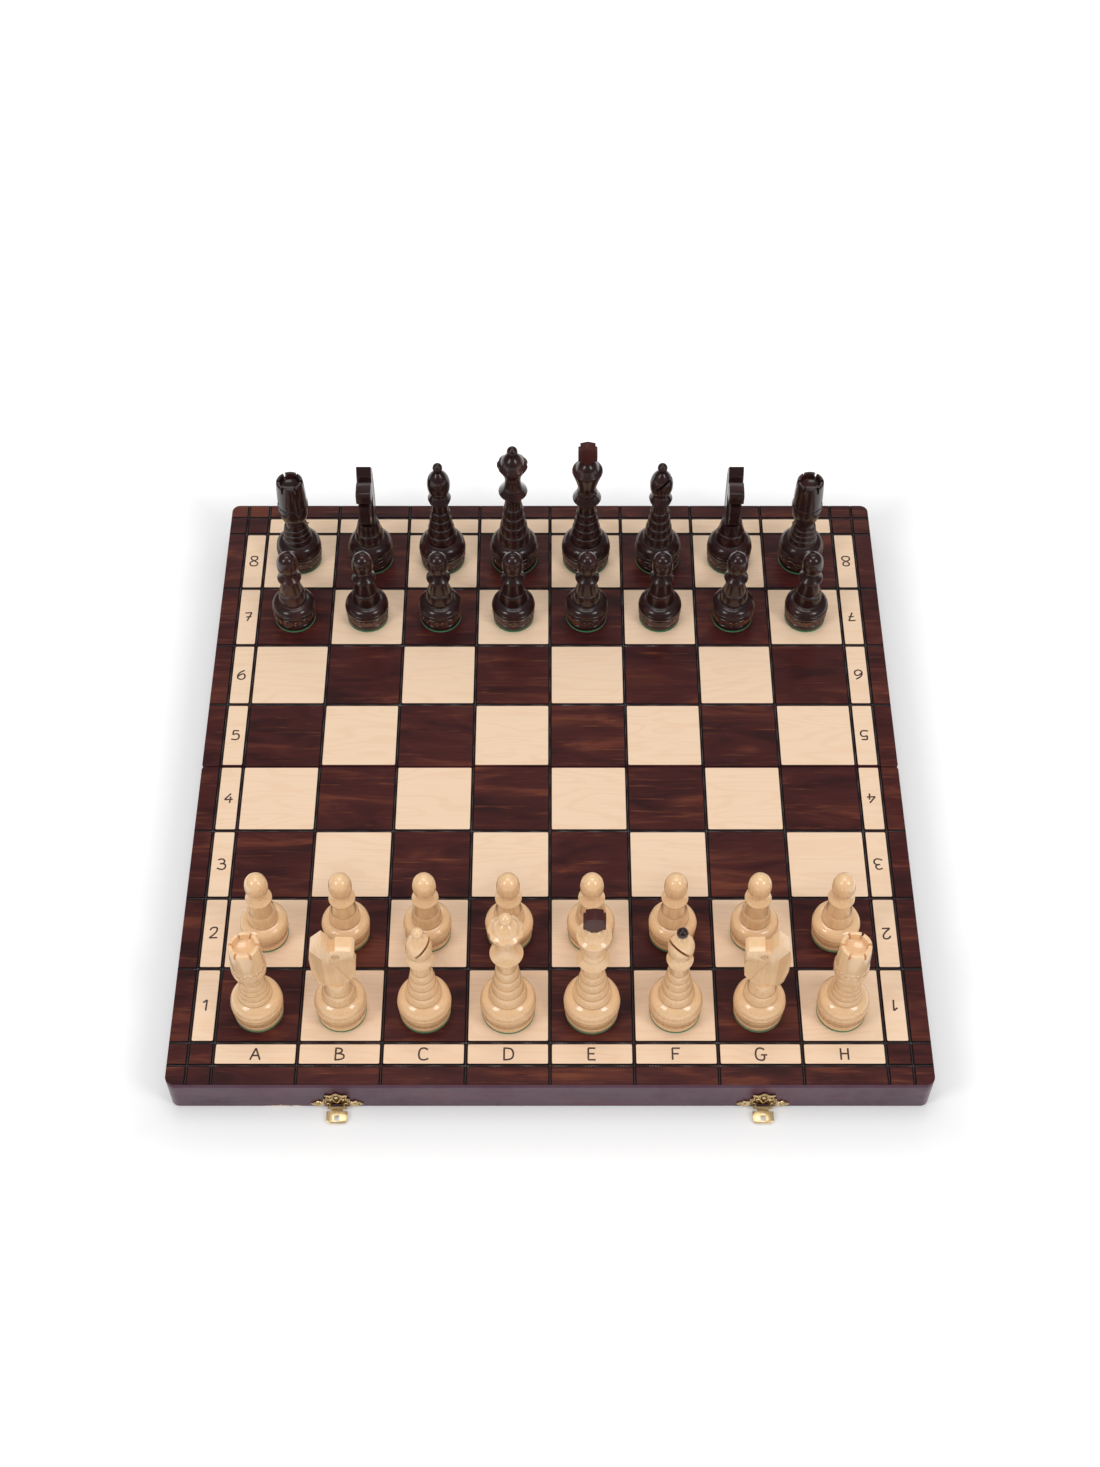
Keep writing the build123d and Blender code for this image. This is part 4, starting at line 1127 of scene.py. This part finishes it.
# The men on their squares: each stands over its felt where the opening of a game puts it, the back ranks
# a little out of the middle. Knights and bishops are turned as a player left them.
facing = {"white_knight_g1": 180, "black_knight_b8": -90, "black_knight_g8": -90,
          "white_bishop_c1": -14, "white_bishop_f1": 218, "black_bishop_c8": 150, "black_bishop_f8": -30}
back_ranks_off = {1: -4.0, 8: 2.5}
feet = {"pawn": pawn_foot, "rook": rook_foot, "knight": knight_foot, "bishop": bishop_foot,
        "queen": queen_foot, "king": king_foot}
shapes = {"pawn": turned_pawn(), "rook": turned_rook(), "knight": carved_knight(),
          "bishop": turned_bishop(True), "queen": turned_queen(), "king": turned_king(),
          "plain_bishop": turned_bishop(False)}
chains = {kind: foot_chain(foot) for kind, foot in feet.items()}

light_chain = rubbed_finish("burnt_chain", toasted, toasted_pale, Roughness=0.5, Coat_Weight=0.5,
                            Coat_Roughness=0.2)
# The third finish is the brown left in gouged and sawn cuts, and is also the painted shade in the grooves
# under the rings.
light_cut_and_groove_shade = rubbed_finish("boxwood_cut_and_groove_shade", toasted_pale, boxwood_deep, Roughness=0.55, Coat_Weight=0.3,
                          Coat_Roughness=0.3)
dark_chain = rubbed_finish("rubbed_chain", ebonised, rubbed_red, Roughness=0.4, Coat_Weight=0.6,
                           Coat_Roughness=0.15)
dark_cut_and_groove_shade = rubbed_finish("ebonised_cut_and_groove_shade", char_black, ebonised_red, Roughness=0.5, Coat_Weight=0.3,
                         Coat_Roughness=0.3)
sides = {"white": ([light_finish, light_chain, light_cut_and_groove_shade], "light_men"),
         "black": ([dark_finish, dark_chain, dark_cut_and_groove_shade], "dark_men")}


def felt_disc(radius):
    bm = turned_bar(radius, felt_thickness, Matrix.Translation((0, 0, felt_thickness / 2)), foot_segments)
    rims = [e for e in bm.edges if abs(e.verts[0].co.z - e.verts[1].co.z) < 1e-4 and len(e.link_faces) == 2]
    ease(bm, rims, 0.2)
    return mesh_of(bm)


def with_chain(shape, chain):
    """A man's wood with the chain rolled on its foot, marked for the second finish."""
    chain = chain.copy()
    chain.polygons.foreach_set("material_index", [1] * len(chain.polygons))
    return together(shape, chain)


for name in sorted(nodes):
    colour, kind = name.split("_")[:2]
    if kind not in feet or not name[-1].isdigit():
        continue
    low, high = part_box(name)
    rank = int(name[-1])
    middle_x = round((low.x + high.x) / 2 * 1000 / (square / 2)) * square / 2
    middle_y = (rank - 4.5) * square + back_ranks_off.get(rank, 0.0)
    turn = Matrix.Rotation(math.radians(facing.get(name, 0)), 4, "Z")
    place = to_metres @ Matrix.Translation((middle_x, middle_y, low.z * 1000)) @ turn
    body = bodies_of_nodes[name]
    shape = shapes["plain_bishop" if name == "white_bishop_f1" else kind]
    finishes, slot = sides[colour]
    piece_of(stood(with_chain(shape, chains[kind]), place), f"{name}_wood", finishes, body, slot, name)
    felt = stood(felt_disc(feet[kind] - felt_inset), place)
    piece_of(felt, f"{name}_felt", [felt_finish], body, "green_felt")
    if name == "white_king_e1":
        cross = stood(sawn_cross(), place)
        piece_of(cross, "white_cross", [cross_finish], body, "dark_men", "white_king_cross")
    if name == "black_king_e8":
        piece_of(stood(sawn_cross(), place), "black_cross", [cross_finish], body, "dark_men")
    if name == "white_bishop_f1":
        dark_ball = stood(ball(ball_radius, bishop_height, bishop_seat), place)
        piece_of(dark_ball, "dark_ball", [dark_finish], body, "dark_men", "white_bishop_ball")
